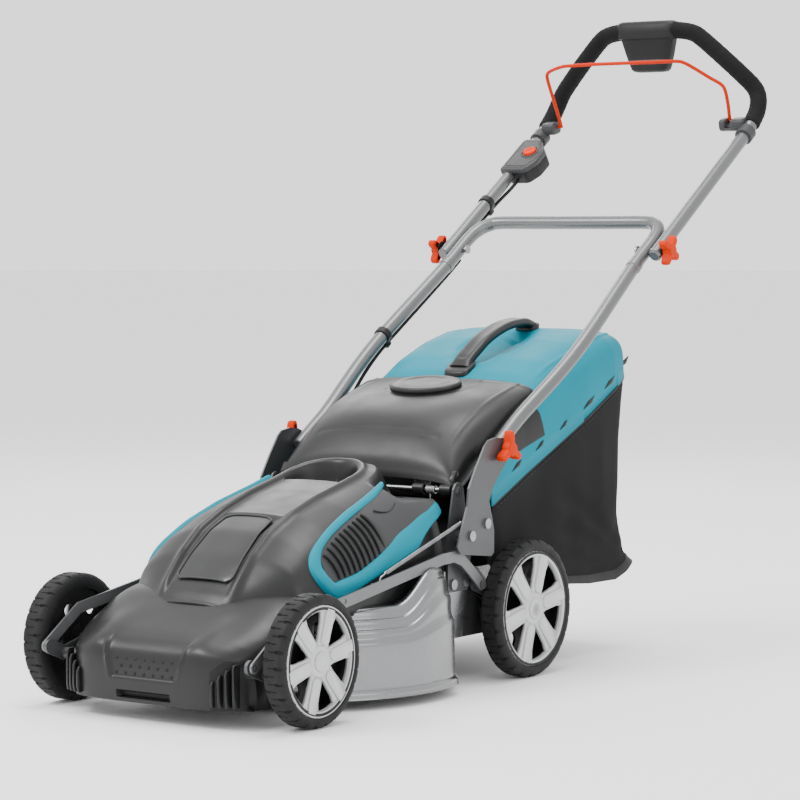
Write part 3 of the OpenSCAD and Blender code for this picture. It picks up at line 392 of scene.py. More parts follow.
def tube(name, path, radius, slot, body, sides=20, round_end=0.15, **options):
    path = np.asarray(path, float)
    lead = path[0] + (path[0] - path[1]) / np.linalg.norm(path[0] - path[1]) * radius * round_end
    tail = path[-1] + (path[-1] - path[-2]) / np.linalg.norm(path[-1] - path[-2]) * radius * round_end
    path = np.vstack([lead, path, tail])
    radii = np.full(len(path), float(radius))
    radii[0] = radii[-1] = radius * (1 - round_end)
    return skin(name, tube_grid(path, radii, sides), slot, body, wrap=True, caps=True, **options)


def lathe_points(profile, centre, sign, steps=96, wave=None):
    """Profile of (distance outwards along x, radius) turned round an axle; wave changes the radius."""
    turn = circle(steps)
    grid = np.zeros((len(profile), steps, 3))
    for i, (along, radius) in enumerate(profile):
        r = radius - (wave(along, turn) if wave else 0)
        grid[i, :, 0] = centre[0] + sign * along
        grid[i, :, 1] = centre[1] + r * np.cos(turn)
        grid[i, :, 2] = centre[2] + r * np.sin(turn)
    return grid


def sideways(u, v, depth):
    return depth, u, v


def prism(name, outline, low, high, slot, body, bevel=0.0, place=sideways):
    """Outline of 2-D points between two depths; place(u, v, depth) gives the point."""
    n = len(outline)
    points = [place(u, v, d) for d in (low, high) for u, v in outline]
    faces = [tuple(range(n)), tuple(range(n, 2 * n))]
    faces += [(i, (i + 1) % n, n + (i + 1) % n, n + i) for i in range(n)]
    obj = add_mesh(name, points, faces, slot, body)
    return bevelled(obj, bevel) if bevel else obj


def joined(name, objects):
    """Several new pieces of one finish as one piece; modifiers are applied first."""
    graph = bpy.context.evaluated_depsgraph_get()
    edit = bmesh.new()
    for obj in objects:
        edit.from_mesh(bpy.data.meshes.new_from_object(obj.evaluated_get(graph)))
    mesh = bpy.data.meshes.new(name)
    edit.to_mesh(mesh)
    edit.free()
    for polygon in mesh.polygons:
        polygon.use_smooth = True
    mesh.set_sharp_from_angle(angle=math.radians(35))
    for material in objects[0].data.materials:
        mesh.materials.append(material)
    first = objects[0]
    piece = bpy.data.objects.new(name, mesh)
    bpy.context.scene.collection.objects.link(piece)
    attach(piece, first["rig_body"])
    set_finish(piece, first["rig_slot"])
    for obj in objects:
        bpy.data.objects.remove(obj)
    return piece


def circle(steps):
    return np.linspace(0, 2 * math.pi, steps, endpoint=False)


def power(wave, p):
    """A power that keeps the sign; on a cosine and a sine it squares a circle off or draws it in."""
    return np.sign(wave) * np.abs(wave) ** p


def bell(away, width):
    return np.exp(-(away / width) ** 2)


def look_up(y, rows):
    return np.interp(y, *np.array(rows).T)


def arch(z0, z1, p, f):
    """Height of a superellipse arch at the share f of its half width."""
    return z0 + (z1 - z0) * (1 - np.minimum(np.abs(f), 1) ** p) ** (1 / p)


def soft_step(x, low, high):
    t = np.clip((x - low) / (high - low), 0, 1)
    return t * t * (3 - 2 * t)


def between(x, start, full, ending, end):
    """A soft window: up from start to full, and down again from ending to end."""
    return soft_step(x, start, full) * (1 - soft_step(x, ending, end))


def eased(y, table):
    """Smooth interpolation in a table of (station, value)."""
    table = np.asarray(table, float)
    y = np.asarray(y, float)
    step = 5.0
    return sum(np.interp(y + k * step, table[:, 0], table[:, 1]) for k in (-1, -0.5, 0, 0.5, 1)) / 5


# ---------------------------------------------------------------- wheels
LUGS = 26
SPOKES = 6
RIM_SHARE = 0.84


def make_wheel(end, side):
    sign = 1 if side == "left" else -1
    body = f"wheel_{end}_{side}"
    low, high = box_mm(f"{end}_tyre_{side}")
    low[1] -= STATION_0
    high[1] -= STATION_0
    radius = (high[2] - low[2]) / 2
    width = high[0] - low[0]
    inner_x = low[0] if sign > 0 else high[0]
    centre = np.array([inner_x, (low[1] + high[1]) / 2, (low[2] + high[2]) / 2])
    rim_r = radius * RIM_SHARE

    def tread(along, turn):
        groove_half, groove_deep, seam_deep = 0.055, 2.8, 1.3
        phase = turn * LUGS / (2 * math.pi)
        def near(shift):
            away = np.abs((phase + shift) % 1 - 0.5)
            return 1 - soft_step(away, groove_half, groove_half + 0.03)
        outside = soft_step(along, width * 0.62, width * 0.68) * soft_step(width + 0.5 - along, 0, 6)
        inside = soft_step(width * 0.38 - along, 0, 2) * soft_step(along, -0.5, 5)
        middle = 1 - soft_step(abs(along - width / 2), width * 0.14, width * 0.18)
        return (groove_deep * (near(0.5) * outside + near(0) * inside)
                + seam_deep * middle * (1 - soft_step(np.abs((phase + 0.25) % 0.5 - 0.25), 0.015, 0.035)))

    profile = [(1.2, rim_r - 3), (0.3, rim_r + 1), (0.8, radius - 9), (2.2, radius - 4),
               (4.6, radius - 1.2)]
    profile += [(k, radius) for k in np.linspace(7, width - 7, 15)]
    profile += [(width - 4.6, radius - 1.2), (width - 2.2, radius - 4), (width - 1.0, radius - 7),
                (width - 0.5, radius - 9), (width - 0.4, rim_r + 3), (width - 1.4, rim_r + 1),
                (width - 3, rim_r - 0.5), (width / 2, rim_r - 3)]
    grid = lathe_points(profile, centre, sign, LUGS * 18, tread)
    grid = np.concatenate([grid, grid[:1]])
    skin(f"tyre_{end}_{side}", grid, "tyre_rubber", body, wrap=True, replaces=[f"{end}_tyre_{side}"])

    def ring(name, outline, steps=96):
        g = lathe_points(outline, centre, sign, steps)
        return skin(name, np.concatenate([g, g[:1]]), "rim_silver", body, wrap=True)

    face = width - 1.2
    parts = [ring("ring", [(face - 8, rim_r - 1), (face - 1.5, rim_r), (face, rim_r - 1),
                           (face, rim_r - 5.5), (face - 1.4, rim_r - 8), (face - 6, rim_r - 9.5),
                           (face - 10, rim_r - 8)])]
    hub_r = radius * 0.25
    parts.append(ring("boss", [(face - 12, hub_r), (face - 3, hub_r), (face - 1.4, hub_r - 1.5),
                               (face - 1, hub_r - 4), (face - 1, 0.01), (face - 12, 0.01)]))
    cap_r = radius * 0.155
    parts.append(ring("cap", [(face - 2, cap_r), (face + 0.3, cap_r - 0.3), (face + 1.1, cap_r - 2),
                              (face + 1.2, 0.01), (face - 2, 0.01)]))
    half = radius * 0.155
    for k in range(SPOKES):
        turn = 2 * math.pi * k / SPOKES + math.radians(12)

        def place(u, v, depth):
            y = centre[1] + u * math.cos(turn) - v * math.sin(turn)
            z = centre[2] + u * math.sin(turn) + v * math.cos(turn)
            return (centre[0] + sign * depth, y, z)

        plate = [(hub_r - 5, -half * 0.95), (hub_r + 6, -half * 0.86), (rim_r * 0.72, -half),
                 (rim_r - 5, -half * 1.4), (rim_r - 5, half * 1.4), (rim_r * 0.72, half),
                 (hub_r + 6, half * 0.86), (hub_r - 5, half * 0.95)]
        parts.append(prism("plate", plate, face - 9, face - 2.6, "rim_silver", body, 1.6, place))
        pad_in, pad_out, pad_r = hub_r + 8, rim_r - 4, half * 0.62
        rounded = [(pad_in + pad_r * math.cos(a), pad_r * math.sin(a))
                   for a in np.linspace(math.pi / 2, 3 * math.pi / 2, 9)]
        pad = rounded + [(pad_out, -pad_r), (pad_out, pad_r)]
        parts.append(prism("pad", pad, face - 4, face + 0.6, "rim_silver", body, 1.6, place))
    rim = joined(f"rim_{end}_{side}", parts)
    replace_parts(rim, f"{end}_rim_{side}")


# ---------------------------------------------------------------- hood
HOOD_P = 3
HOOD_BASE = 129
HOOD_WIDTHS = [(0, 62), (20, 86), (40, 118), (62, 146), (80, 152), (140, 160), (210, 165), (300, 165),
               (360, 163), (392, 156)]
HOOD_CROWNS = [(0, 150), (20, 174), (60, 214), (100, 245), (150, 268), (210, 287), (280, 304), (340, 320),
               (365, 324), (392, 312)]
HOOD_FRONT, HOOD_REAR = 0, 392
RAIL_X = 62
RAIL_TURN_Y = 300
BOWL_FRONT = 286
BOWL_FLOOR = 288
SHELF_Z = 274


def hood_wh(y):
    return eased(y, HOOD_WIDTHS), eased(y, HOOD_CROWNS)


def hood_at(y, angle, lift):
    """Point on the hood's left side at an arch angle in degrees, lifted outwards."""
    w, crown = hood_wh(y)
    c, s = math.cos(math.radians(angle)), math.sin(math.radians(angle))
    return np.array([(w + lift) * c ** (2 / HOOD_P), y,
                     HOOD_BASE + (crown + lift - HOOD_BASE) * s ** (2 / HOOD_P)])


def rail_distance(x, y):
    """Distance in plan from the U-shaped rail, and whether the point lies inside it."""
    beyond = np.maximum(y - RAIL_TURN_Y, 0)
    radius = np.hypot(x, beyond)
    return np.abs(radius - RAIL_X), radius < RAIL_X


def make_hood():
    ys = np.concatenate([np.linspace(HOOD_FRONT, 60, 22), np.linspace(62.5, 270, 76),
                         np.linspace(271.5, 372, 68), np.linspace(374, HOOD_REAR, 10)])
    crown_share = 0.88
    # the last angles run down the flank to the hood's lower edge
    flank = np.linspace(math.acos(crown_share ** (HOOD_P / 2)), 0.0, 26)[1:]
    half_f = np.concatenate([np.linspace(0, crown_share, 92), np.cos(flank) ** (2 / HOOD_P)])
    f = np.concatenate([-half_f[::-1], half_f[1:]])
    grid = np.zeros((len(ys), len(f), 3))
    for i, y in enumerate(ys):
        w, crown = hood_wh(y)
        x = w * f
        z = arch(HOOD_BASE, crown, HOOD_P, f)
        away, inside = rail_distance(x, np.full_like(x, y))
        starts = soft_step(y, 8, 26)
        z = z + starts * 5.5 * bell(away, 6.5)
        panel = inside & (away > 0)
        z = z - starts * 3.0 * np.where(panel, soft_step(away, 5, 9), 0)
        # window recess, the step above it, and the two creases below it
        in_window = between(y, 27, 31, 136, 141) * (1 - soft_step(np.abs(x), 44, 48))
        z = z - 1.6 * in_window
        z = z + 1.3 * bell(y - 147 + (x / 60) ** 2 * 3, 3.5) * (np.abs(x) < 50)
        for crease_y in (7, 13):
            z = z + 0.9 * bell(y - crease_y, 1.2) * (np.abs(x) < 52)
        # level shelf on each side of the bowl's tower
        past = np.hypot(np.maximum(np.abs(x) - 40, 0), 0.6 * max(y - 300, 0))
        on_shelf = soft_step(y, 296, 330) * soft_step(past, 38, 62)
        z = z - np.maximum(z - SHELF_Z, 0) * on_shelf
        # finger bowl
        behind_edge = soft_step(y, BOWL_FRONT - 2, BOWL_FRONT + 5)
        in_bowl = np.where(inside, soft_step(away, 7, 11), 0) * behind_edge
        z = z * (1 - in_bowl) + (BOWL_FLOOR + 2 * np.abs(x / 50) ** 2) * in_bowl
        grid[i, :, 0], grid[i, :, 1], grid[i, :, 2] = x, y, z
    skin("hood", grid, "cover_plastic", "root", thick=2.5, crease=50, replaces=["motor_hood"])
    rear = [[(p[0] * s, HOOD_REAR, HOOD_BASE + (p[2] - HOOD_BASE) * s) for p in grid[-1]]
            for s in (1, 0.55, 0.05)]
    skin("hood_back", rear, "cover_plastic", "root")


def make_window():
    half_low, half_high = 49, 41
    ys = np.linspace(30, 138, 30)
    us = np.linspace(-1, 1, 25)
    grid = np.zeros((len(ys), len(us), 3))
    for i, y in enumerate(ys):
        t = (y - 30) / 108
        half = half_low + (half_high - half_low) * t
        corner = 9
        for edge in (y - 30, 138 - y):
            if edge < corner:
                half -= corner - math.sqrt(corner**2 - (corner - edge) ** 2)
        w, crown = hood_wh(y)
        x = us * half
        grid[i, :, 0], grid[i, :, 1] = x, y + 3 * (1 - us**2) * t
        grid[i, :, 2] = arch(HOOD_BASE, crown, HOOD_P, x / w) - 2.4 + 1.2 * (1 - us**4)
    skin("window_pane", grid, "smoked_window", "root", replaces=["hood_window"])
    border = np.vstack([grid[:, 0], grid[-1, 1:-1], grid[::-1, -1], grid[0, ::-1][1:-1], grid[:1, 0]])
    tube("window_frame", border + [0, 0, 0.6], 1.5, "grey_plastic", "root", sides=8)


# outer y, outer angle, inner angle, inner y, and how far the band stands off the hood
TRIM_PATH = [
    (312, 63, 59, 310, 0), (280, 60.5, 55, 282, 0), (240, 57.5, 52, 244, 0), (200, 55, 49, 205, 0),
    (160, 51, 45.5, 168, 0), (125, 46, 41, 136, 0), (102, 40, 36.5, 120, 0), (91, 31, 29, 110, 0),
    (93, 20, 20.5, 112, 0), (104, 11, 14, 122, 0), (124, 6, 14, 134, 0), (160, 6.5, 14.5, 166, 0),
    (200, 9, 17.5, 202, 0), (240, 11.5, 21.5, 238, 1), (276, 14, 26.5, 270, 3), (306, 16, 29, 300, 6),
    (324, 20, 31, 322, 9), (345, 23.5, 32, 340, 11), (366, 26, 34, 358, 11.5), (382, 29, 36, 372, 11.5),
]
LOWER_LEG = 9
UPPER_LEG = 8


def mirrored(points, side):
    return np.asarray(points, float) * ([1, 1, 1] if side == "left" else [-1, 1, 1])


def make_hood_side(side):
    """The U-shaped trim, the smooth panel inside it, and the vent's ribs, which are returned."""
    rows = np.array(smooth_path([(*r, 0) for r in TRIM_PATH], 7))[:, :5]
    profile = [(0, 0.2), (0.02, 4.5), (0.08, 7.5), (0.2, 9.2), (0.56, 9.9), (0.66, 9.4), (0.9, 6.6),
               (0.97, 5), (1, 0.2)]
    grid = []
    for oy, oa, ia, iy, off in rows:
        lift = 0.55 + 0.35 * soft_step(30 - oa, 0, 18)
        grid.append([hood_at(oy + (iy - oy) * s, oa + (ia - oa) * s, h * lift + off) for s, h in profile])
    skin(f"trim_{side}", mirrored(grid, side), "teal_plastic", "root", wrap=True, caps=True, crease=24,
         replaces=[f"side_trim_{side}"])
    table = np.array(TRIM_PATH)
    lower, upper = table[LOWER_LEG:], table[:UPPER_LEG][::-1]
    ys = np.linspace(112, 372, 66)
    low_angle = np.interp(ys, lower[:, 3], lower[:, 2])
    high_angle = np.interp(ys, upper[:, 3], upper[:, 2])
    off = np.interp(ys, lower[:, 3], lower[:, 4])
    panel = []
    for y, a, b, stand in zip(ys, low_angle, high_angle, off):
        shelf = soft_step(y, 226, 244)
        row = []
        for t in np.linspace(0, 1, 26):
            lift = 1.2 + shelf * (3.4 - 2.4 * t) + stand * (1 - t) ** 2
            point = hood_at(y, a - 1 + (b - a + 2) * t, lift)
            level = soft_step(y, 300, 330) * soft_step(t, 0.0, 0.12)
            point[2] -= max(point[2] - SHELF_Z - 1.5, 0) * level
            row.append(point)
        panel.append(row)
    skin(f"panel_{side}", mirrored(panel, side), "grey_plastic", "root",
         replaces=[f"side_panel_{side}"])
    ribs = []
    for k in range(10):
        y = 122 + 11.5 * k
        low = np.interp(y, lower[:, 3], lower[:, 2]) + 1
        high = np.interp(y, upper[:, 3], upper[:, 2]) - 3
        line = [hood_at(y + 14 * (1 - t), low + (high - low) * t,
                        2.0 + 2.2 * math.sin(math.pi * t) ** 0.5)
                for t in np.linspace(0, 1, 14)]
        ribs.append(tube("rib", mirrored(line, side), 2.5, "cover_plastic", "root", sides=10))
    groove = [hood_at(y, q, 4.3) for y, q in ((250, 46), (262, 43), (274, 41.5), (286, 42), (298, 44.5))]
    tube(f"panel_groove_{side}", mirrored(smooth_path(groove, 6), side), 1.1, "cover_plastic", "root",
         sides=8)
    return ribs


# ---------------------------------------------------------------- front cover
COVER_PROFILE = [(-94, 25), (-97, 30), (-99, 42), (-99.5, 58), (-99, 74), (-97, 88), (-92, 99),
                 (-82, 108), (-66, 117), (-36, 132), (0, 150), (30, 164), (60, 172)]
COVER_WIDTHS = [(-100, 150), (-92, 158), (-66, 166), (-36, 170), (0, 171), (60, 170)]


def make_front_cover():
    profile = smooth_path([(y, z, 0) for y, z in COVER_PROFILE], 9)[:, :2]
    angles = np.concatenate([np.linspace(math.pi, math.pi * 0.72, 26),
                             np.linspace(math.pi * 0.72, math.pi * 0.28, 130)[1:-1],
                             np.linspace(math.pi * 0.28, 0, 26)])
    grid = np.zeros((len(profile), len(angles), 3))
    for i, (y, z) in enumerate(profile):
        p = 5.2
        w = look_up(y, COVER_WIDTHS)
        f = power(np.cos(angles), 2 / p)
        drop = (1 - np.abs(np.sin(angles)) ** (2 / p))
        x = w * f
        set_back = 42 * np.abs(f) ** 7 * (1 - soft_step(y, -100, -20))
        bottom = 25 + 50 * soft_step(y, -40, 60)
        zz = z - (z - bottom) * drop if z > bottom else np.full_like(x, bottom)
        yy = y + set_back
        # framed centre panel with a sunk face
        half = 57 + 0.28 * (z - 58)
        edge = np.minimum(half - np.abs(x), min(z - 57, 108 - z + 20))
        sunk = soft_step(edge, -1, 4) * between(z, 56, 60, 100, 122)
        frame_line = bell(edge + 1.5, 2.4) * between(z, 50, 55, 104, 112)
        yy = yy + 3.2 * sunk - 1.8 * frame_line
        # slot under the panel
        in_slot = (1 - soft_step(np.abs(x), 44, 47)) * between(z, 31, 33, 40, 42)
        yy = yy + 9 * in_slot
        # cheeks between the panel and the corners
        cheek = bell(np.abs(x) - 88, 20) * between(z, 60, 96, 118, 150)
        zz = zz + 4 * cheek
        grid[i, :, 0], grid[i, :, 1], grid[i, :, 2] = x, np.maximum(yy, -99.8), zz
    cover = skin("nose", grid, "cover_plastic", "root", thick=2.5, crease=45, replaces=["front_cover"],
                 extra_slots=["black_plastic"])
    for polygon in cover.data.polygons:
        x, y, z = polygon.center / MM
        y -= STATION_0
        slot = abs(x) < 45 and y < -80 and 32.5 < z < 41
        # painted shade: the low corners and side walls of the nose, behind the front wheels, are given the
        # black finish
        corner = abs(x) > 112 and y < 60 and z < 92 - 0.9 * max(0, 128 - abs(x))
        if slot or corner:
            polygon.material_index = 1
    dots = []
    for row in range(3):
        for k in range(7 if row != 1 else 6):
            x = -48 + 16 * k + (8 if row == 1 else 0)
            z = 65 + 9.5 * row
            y = np.interp(z, [p[1] for p in COVER_PROFILE], [p[0] for p in COVER_PROFILE]) + 3.4
            g = [[(x + r * math.cos(a), y - h, z + r * math.sin(a))
                  for a in np.linspace(0, 2 * math.pi, 14)[:-1]]
                 for r, h in ((2.7, -0.6), (2.6, 0.3), (2.0, 1.0), (1.0, 1.4), (0.05, 1.5))]
            dots.append(skin("dot", g, "black_plastic", "root", wrap=True))
    joined("nose_dots", dots)
    fins = []
    for sign in (-1, 1):
        for k in range(4):
            x = sign * (117 + 9.5 * k)
            top = 66 + 7.5 * k
            y = -97 + 2.4 * k + 0.34 * k * k
            outline = [(y + 1, 30), (y - 2.2 + 0.5 * k, 40), (y - 2.2 + 0.5 * k, top - 6), (y + 2, top),
                       (y + 14, top), (y + 14, 30)]
            fins.append(prism("fin", [(max(u, -99.5), v) for u, v in outline], x - 1.7, x + 1.7,
                              "cover_plastic", "root", 1.0))
    joined("nose_fins", fins)


# ---------------------------------------------------------------- deck
BLADE_Y = 275
DECK_R = 221
CORNER_TURN = 20
# share of the way from the outer wall to the inner line, height on the bowl, height at the corner
DECK_PROFILE = [
    (0.0, 14, 14), (0.02, 17, 17), (0.03, 22, 22), (0.1, 25, 25), (0.15, 29, 30), (0.18, 58, 60),
    (0.2, 86, 96), (0.22, 91, 106), (0.3, 94.5, 112), (0.34, 98, 120), (0.35, 103, 134),
    (0.38, 106.5, 141), (0.47, 108, 145), (0.51, 111, 151), (0.53, 117, 160), (0.57, 120, 165),
    (0.66, 121.5, 168), (0.7, 124, 171), (0.73, 130, 176), (0.8, 134, 180), (0.9, 136.5, 182),
    (1.0, 137, 181),
]


def deck_outline():
    """Outer points, the inner points the wall leans towards, and how far each has risen."""
    rows = []
    for a in np.linspace(-90, CORNER_TURN, 110):
        c, s = math.cos(math.radians(a)), math.sin(math.radians(a))
        inner = (max(185 * c, 168 if a > -14 else 0), min(BLADE_Y + 185 * s, 345))
        rows.append(((DECK_R * c, BLADE_Y + DECK_R * s), inner, float(soft_step(a, -14, 14))))
    turn = math.radians(CORNER_TURN)
    cx, cy = (DECK_R - 20) * math.cos(turn), BLADE_Y + (DECK_R - 20) * math.sin(turn)
    for a in np.linspace(CORNER_TURN, 90, 14)[1:]:
        q = math.radians(a)
        rows.append(((cx + 20 * math.cos(q), cy + 20 * math.sin(q)),
                     (168 + 6 * math.cos(q), 339 + 6 * math.sin(q)), 1.0))
    for x in (184, 178, 172, 168):
        rows.append(((x, cy + 20), (x - 18, 345), 1.0))
    return rows


def make_deck():
    half = deck_outline()
    profile = smooth_path(DECK_PROFILE, 3)
    grid = []
    for outer, inner, rise in half:
        outer, inner = np.array(outer), np.array(inner)
        line = [(*(outer + (inner - outer) * t), low + (high - low) * rise) for t, low, high in profile]
        away = inner - np.array([0, BLADE_Y])
        shelf = np.array([0, BLADE_Y]) + away * (165 / 185)
        tuck = np.array([min(inner[0], 166), inner[1]])
        under = shelf * (1 - rise) + tuck * rise
        line.append((*under, 135 * (1 - rise) + 140 * rise))
        line.append((*under, 130))
        line.append((*(np.array([0, BLADE_Y]) + away * (100 / 185)), 128.5))
        grid.append(line)
    grid = np.array(grid)
    both = np.concatenate([(grid * [-1, 1, 1])[:0:-1], grid])
    parts = [skin("bowl", both, "deck_steel", "root", thick=-2, crease=60)]
    for side, sign in SIDES:
        rear = []
        for a in np.linspace(25, 54.6, 24):
            c, s = math.cos(math.radians(a)), math.sin(math.radians(a))
            rear.append([(r * c, BLADE_Y + r * s, z) for r, z in
                         ((211, 14), (211, 20), (208, 25), (206, 30), (204, 60), (201, 66), (199, 94),
                          (193, 100), (187, 114), (180, 124), (174, 128), (130, 128.5))])
        parts.append(skin("bowl_rear", mirrored(rear, side), "deck_steel", "root", thick=-2, crease=60))
        wall = [(380, 70), (510, 70), (510, 158), (498, 170), (380, 170)]
        parts.append(prism("wall", wall, sign * 159, sign * 165, "deck_steel", "root", 1.2))
        rail = [(-66, 56), (100, 56), (134, 90.4), (-66, 90.4)]
        parts.append(prism("rail", rail, sign * 128, sign * 134, "deck_steel", "root", 1.2))
    sheet = [(-134, -66), (134, -66), (134, 100), (60, 104), (-60, 104), (-134, 100)]
    parts.append(prism("apron", sheet, 90, 93, "deck_steel", "root", 0.8, lambda u, v, d: (u, v, d)))
    deck = joined("deck", parts)
    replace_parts(deck, "deck_shell", "deck_corners")


# ---------------------------------------------------------------- grass box
BOX_FRONT, BOX_BACK = 514, 892
COVER_PLAN = [(514, 157), (600, 161), (660, 166), (760, 174), (840, 174), (872, 169.5), (886, 161),
              (892, 150)]
COVER_CROWNS = [(514, 384), (560, 398), (606, 408), (632, 424), (660, 446), (700, 466), (780, 492),
                (840, 505), (872, 507), (886, 500), (892, 486)]
COVER_P = 5


def seam_z(y):
    return 238 + 0.494 * (y - 482)


def cover_shape(y):
    return (look_up(y, COVER_PLAN), eased(y, COVER_CROWNS) if y < 880 else
            look_up(y, COVER_CROWNS))


def cover_side(y, z, lift=0.0):
    """Point on the left side wall of the cover at height z."""
    w, crown = cover_shape(y)
    low = seam_z(y)
    t = min(max((z - low) / (crown - low), 0), 0.999)
    return np.array([(w + lift) * (1 - t**COVER_P) ** (1 / COVER_P), y, z])


def make_box_cover():
    ys = np.concatenate([np.linspace(BOX_FRONT, 866, 110), np.linspace(868, BOX_BACK, 16)])
    turn = np.linspace(0, math.pi, 121)
    f = power(np.cos(turn), 2 / COVER_P)
    grid = np.zeros((len(ys), len(f), 3))
    for i, y in enumerate(ys):
        w, crown = cover_shape(y)
        low = seam_z(y)
        rise = np.abs(np.sin(turn)) ** (2 / COVER_P)
        x = w * f
        z = low + (crown - low) * rise
        top = rise > 0.9
        # finger recess under the carry handle, with a crease round it
        away = np.hypot(x / 52, (y - 768) / 92)
        z = z - np.where(top, 20 * (1 - soft_step(away, 0.62, 1.0)), 0)
        # raised edge band that follows the top's outline
        band = np.abs(np.abs(x) - (w - 30))
        z = z + np.where(top, 1.6 * (1 - soft_step(band, 2, 6)) * soft_step(y, 650, 690), 0)
        # lip above the seam
        lip = (z - low) < 9
        x = x + np.sign(x) * np.where(lip, 1.4, 0) * (1 if w < 173 else 0)
        grid[i, :, 0], grid[i, :, 1], grid[i, :, 2] = x, y, z
    skin("box_cover", grid, "teal_plastic", "grass_box", thick=2.8, crease=44, replaces=["box_top_cover"])
    back = [[(p[0] * s, BOX_BACK - 0.3, seam_z(BOX_BACK) + (p[2] - seam_z(BOX_BACK)) * s)
             for p in grid[-1]]
            for s in (1, 0.97, 0.6, 0.1)]
    back[1] = [(x, BOX_BACK, z) for x, y, z in back[1]]
    skin("box_cover_back", back, "teal_plastic", "grass_box", crease=44)
    patches, slots, piping = [], [], []
    for side, s in SIDES:
        # dark front part of the side
        rows = []
        for y in np.linspace(516, 647, 34):
            low = 324 + (y - 560) * 0.333
            w, crown = cover_shape(y)
            edge = 394 if y < 637 else 394 - (y - 637) * 4.1
            high = min(crown - 1.5, max(edge, low + 0.5))
            rows.append([cover_side(y, low + (high - low) * t, 0.9) for t in np.linspace(0, 1, 14)])
        patches.append(skin("patch", mirrored(rows, side), "cover_plastic", "grass_box", thick=-0.8))
        # painted shade: each side slot is a black prism standing proud of the wall, in place of a recess and
        # the shade inside it
        for k in range(6):
            y = 582 + 60 * k
            z = 311 + 28.2 * k
            outline = [(y - 16, z - 9), (y + 9, z + 1), (y + 17, z + 13), (y - 3, z + 4)]
            w = cover_side(y, z)[0]
            slots.append(prism("slot", outline, s * (w - 1.5), s * (w + 0.45), "black_plastic",
                               "grass_box", 0.7))
        line = [(s * (look_up(y, COVER_PLAN) - 0.6), y, seam_z(y) - 1)
                for y in np.linspace(518, 886, 70)]
        piping.append(tube("piping", line, 2.2, "black_plastic", "grass_box", sides=10))
    joined("box_side_panels", patches)
    joined("box_slots", slots)
    rear_line = [(x, BOX_BACK - 2.2, seam_z(BOX_BACK) - 1) for x in np.linspace(-152, 152, 30)]
    piping.append(tube("piping", rear_line, 2.2, "black_plastic", "grass_box", sides=10))
    joined("box_piping", piping)


BAG_MID_Y, BAG_TOP_Y, BAG_CORNER_Y = 700, 889, 916
BAG_REAR = [(0, BAG_TOP_Y), (0.12, 882), (0.3, 875), (0.62, 876), (0.8, 884), (0.92, 900),
            (1, BAG_CORNER_Y)]
BAG_FLOOR = [(520, 141), (600, 131), (697, 121), (779, 114), (850, 114), (880, 124), (916, 142)]


def bag_outline():
    """Plan of the bag's top edge, from the left front round the back to the right front."""
    side = [(155, 520), (159, 600), (163.5, 664), (170, 720), (172.5, 790), (172, 850), (168, 873),
            (160, 884), (146, 888.5)]
    side = smooth_path([(x, y, 0) for x, y in side], 14)[:, :2]
    back = [(x, BAG_TOP_Y) for x in np.linspace(138, -138, 40)]
    return np.array([*side, *back, *[(-x, y) for x, y in side[::-1]]])


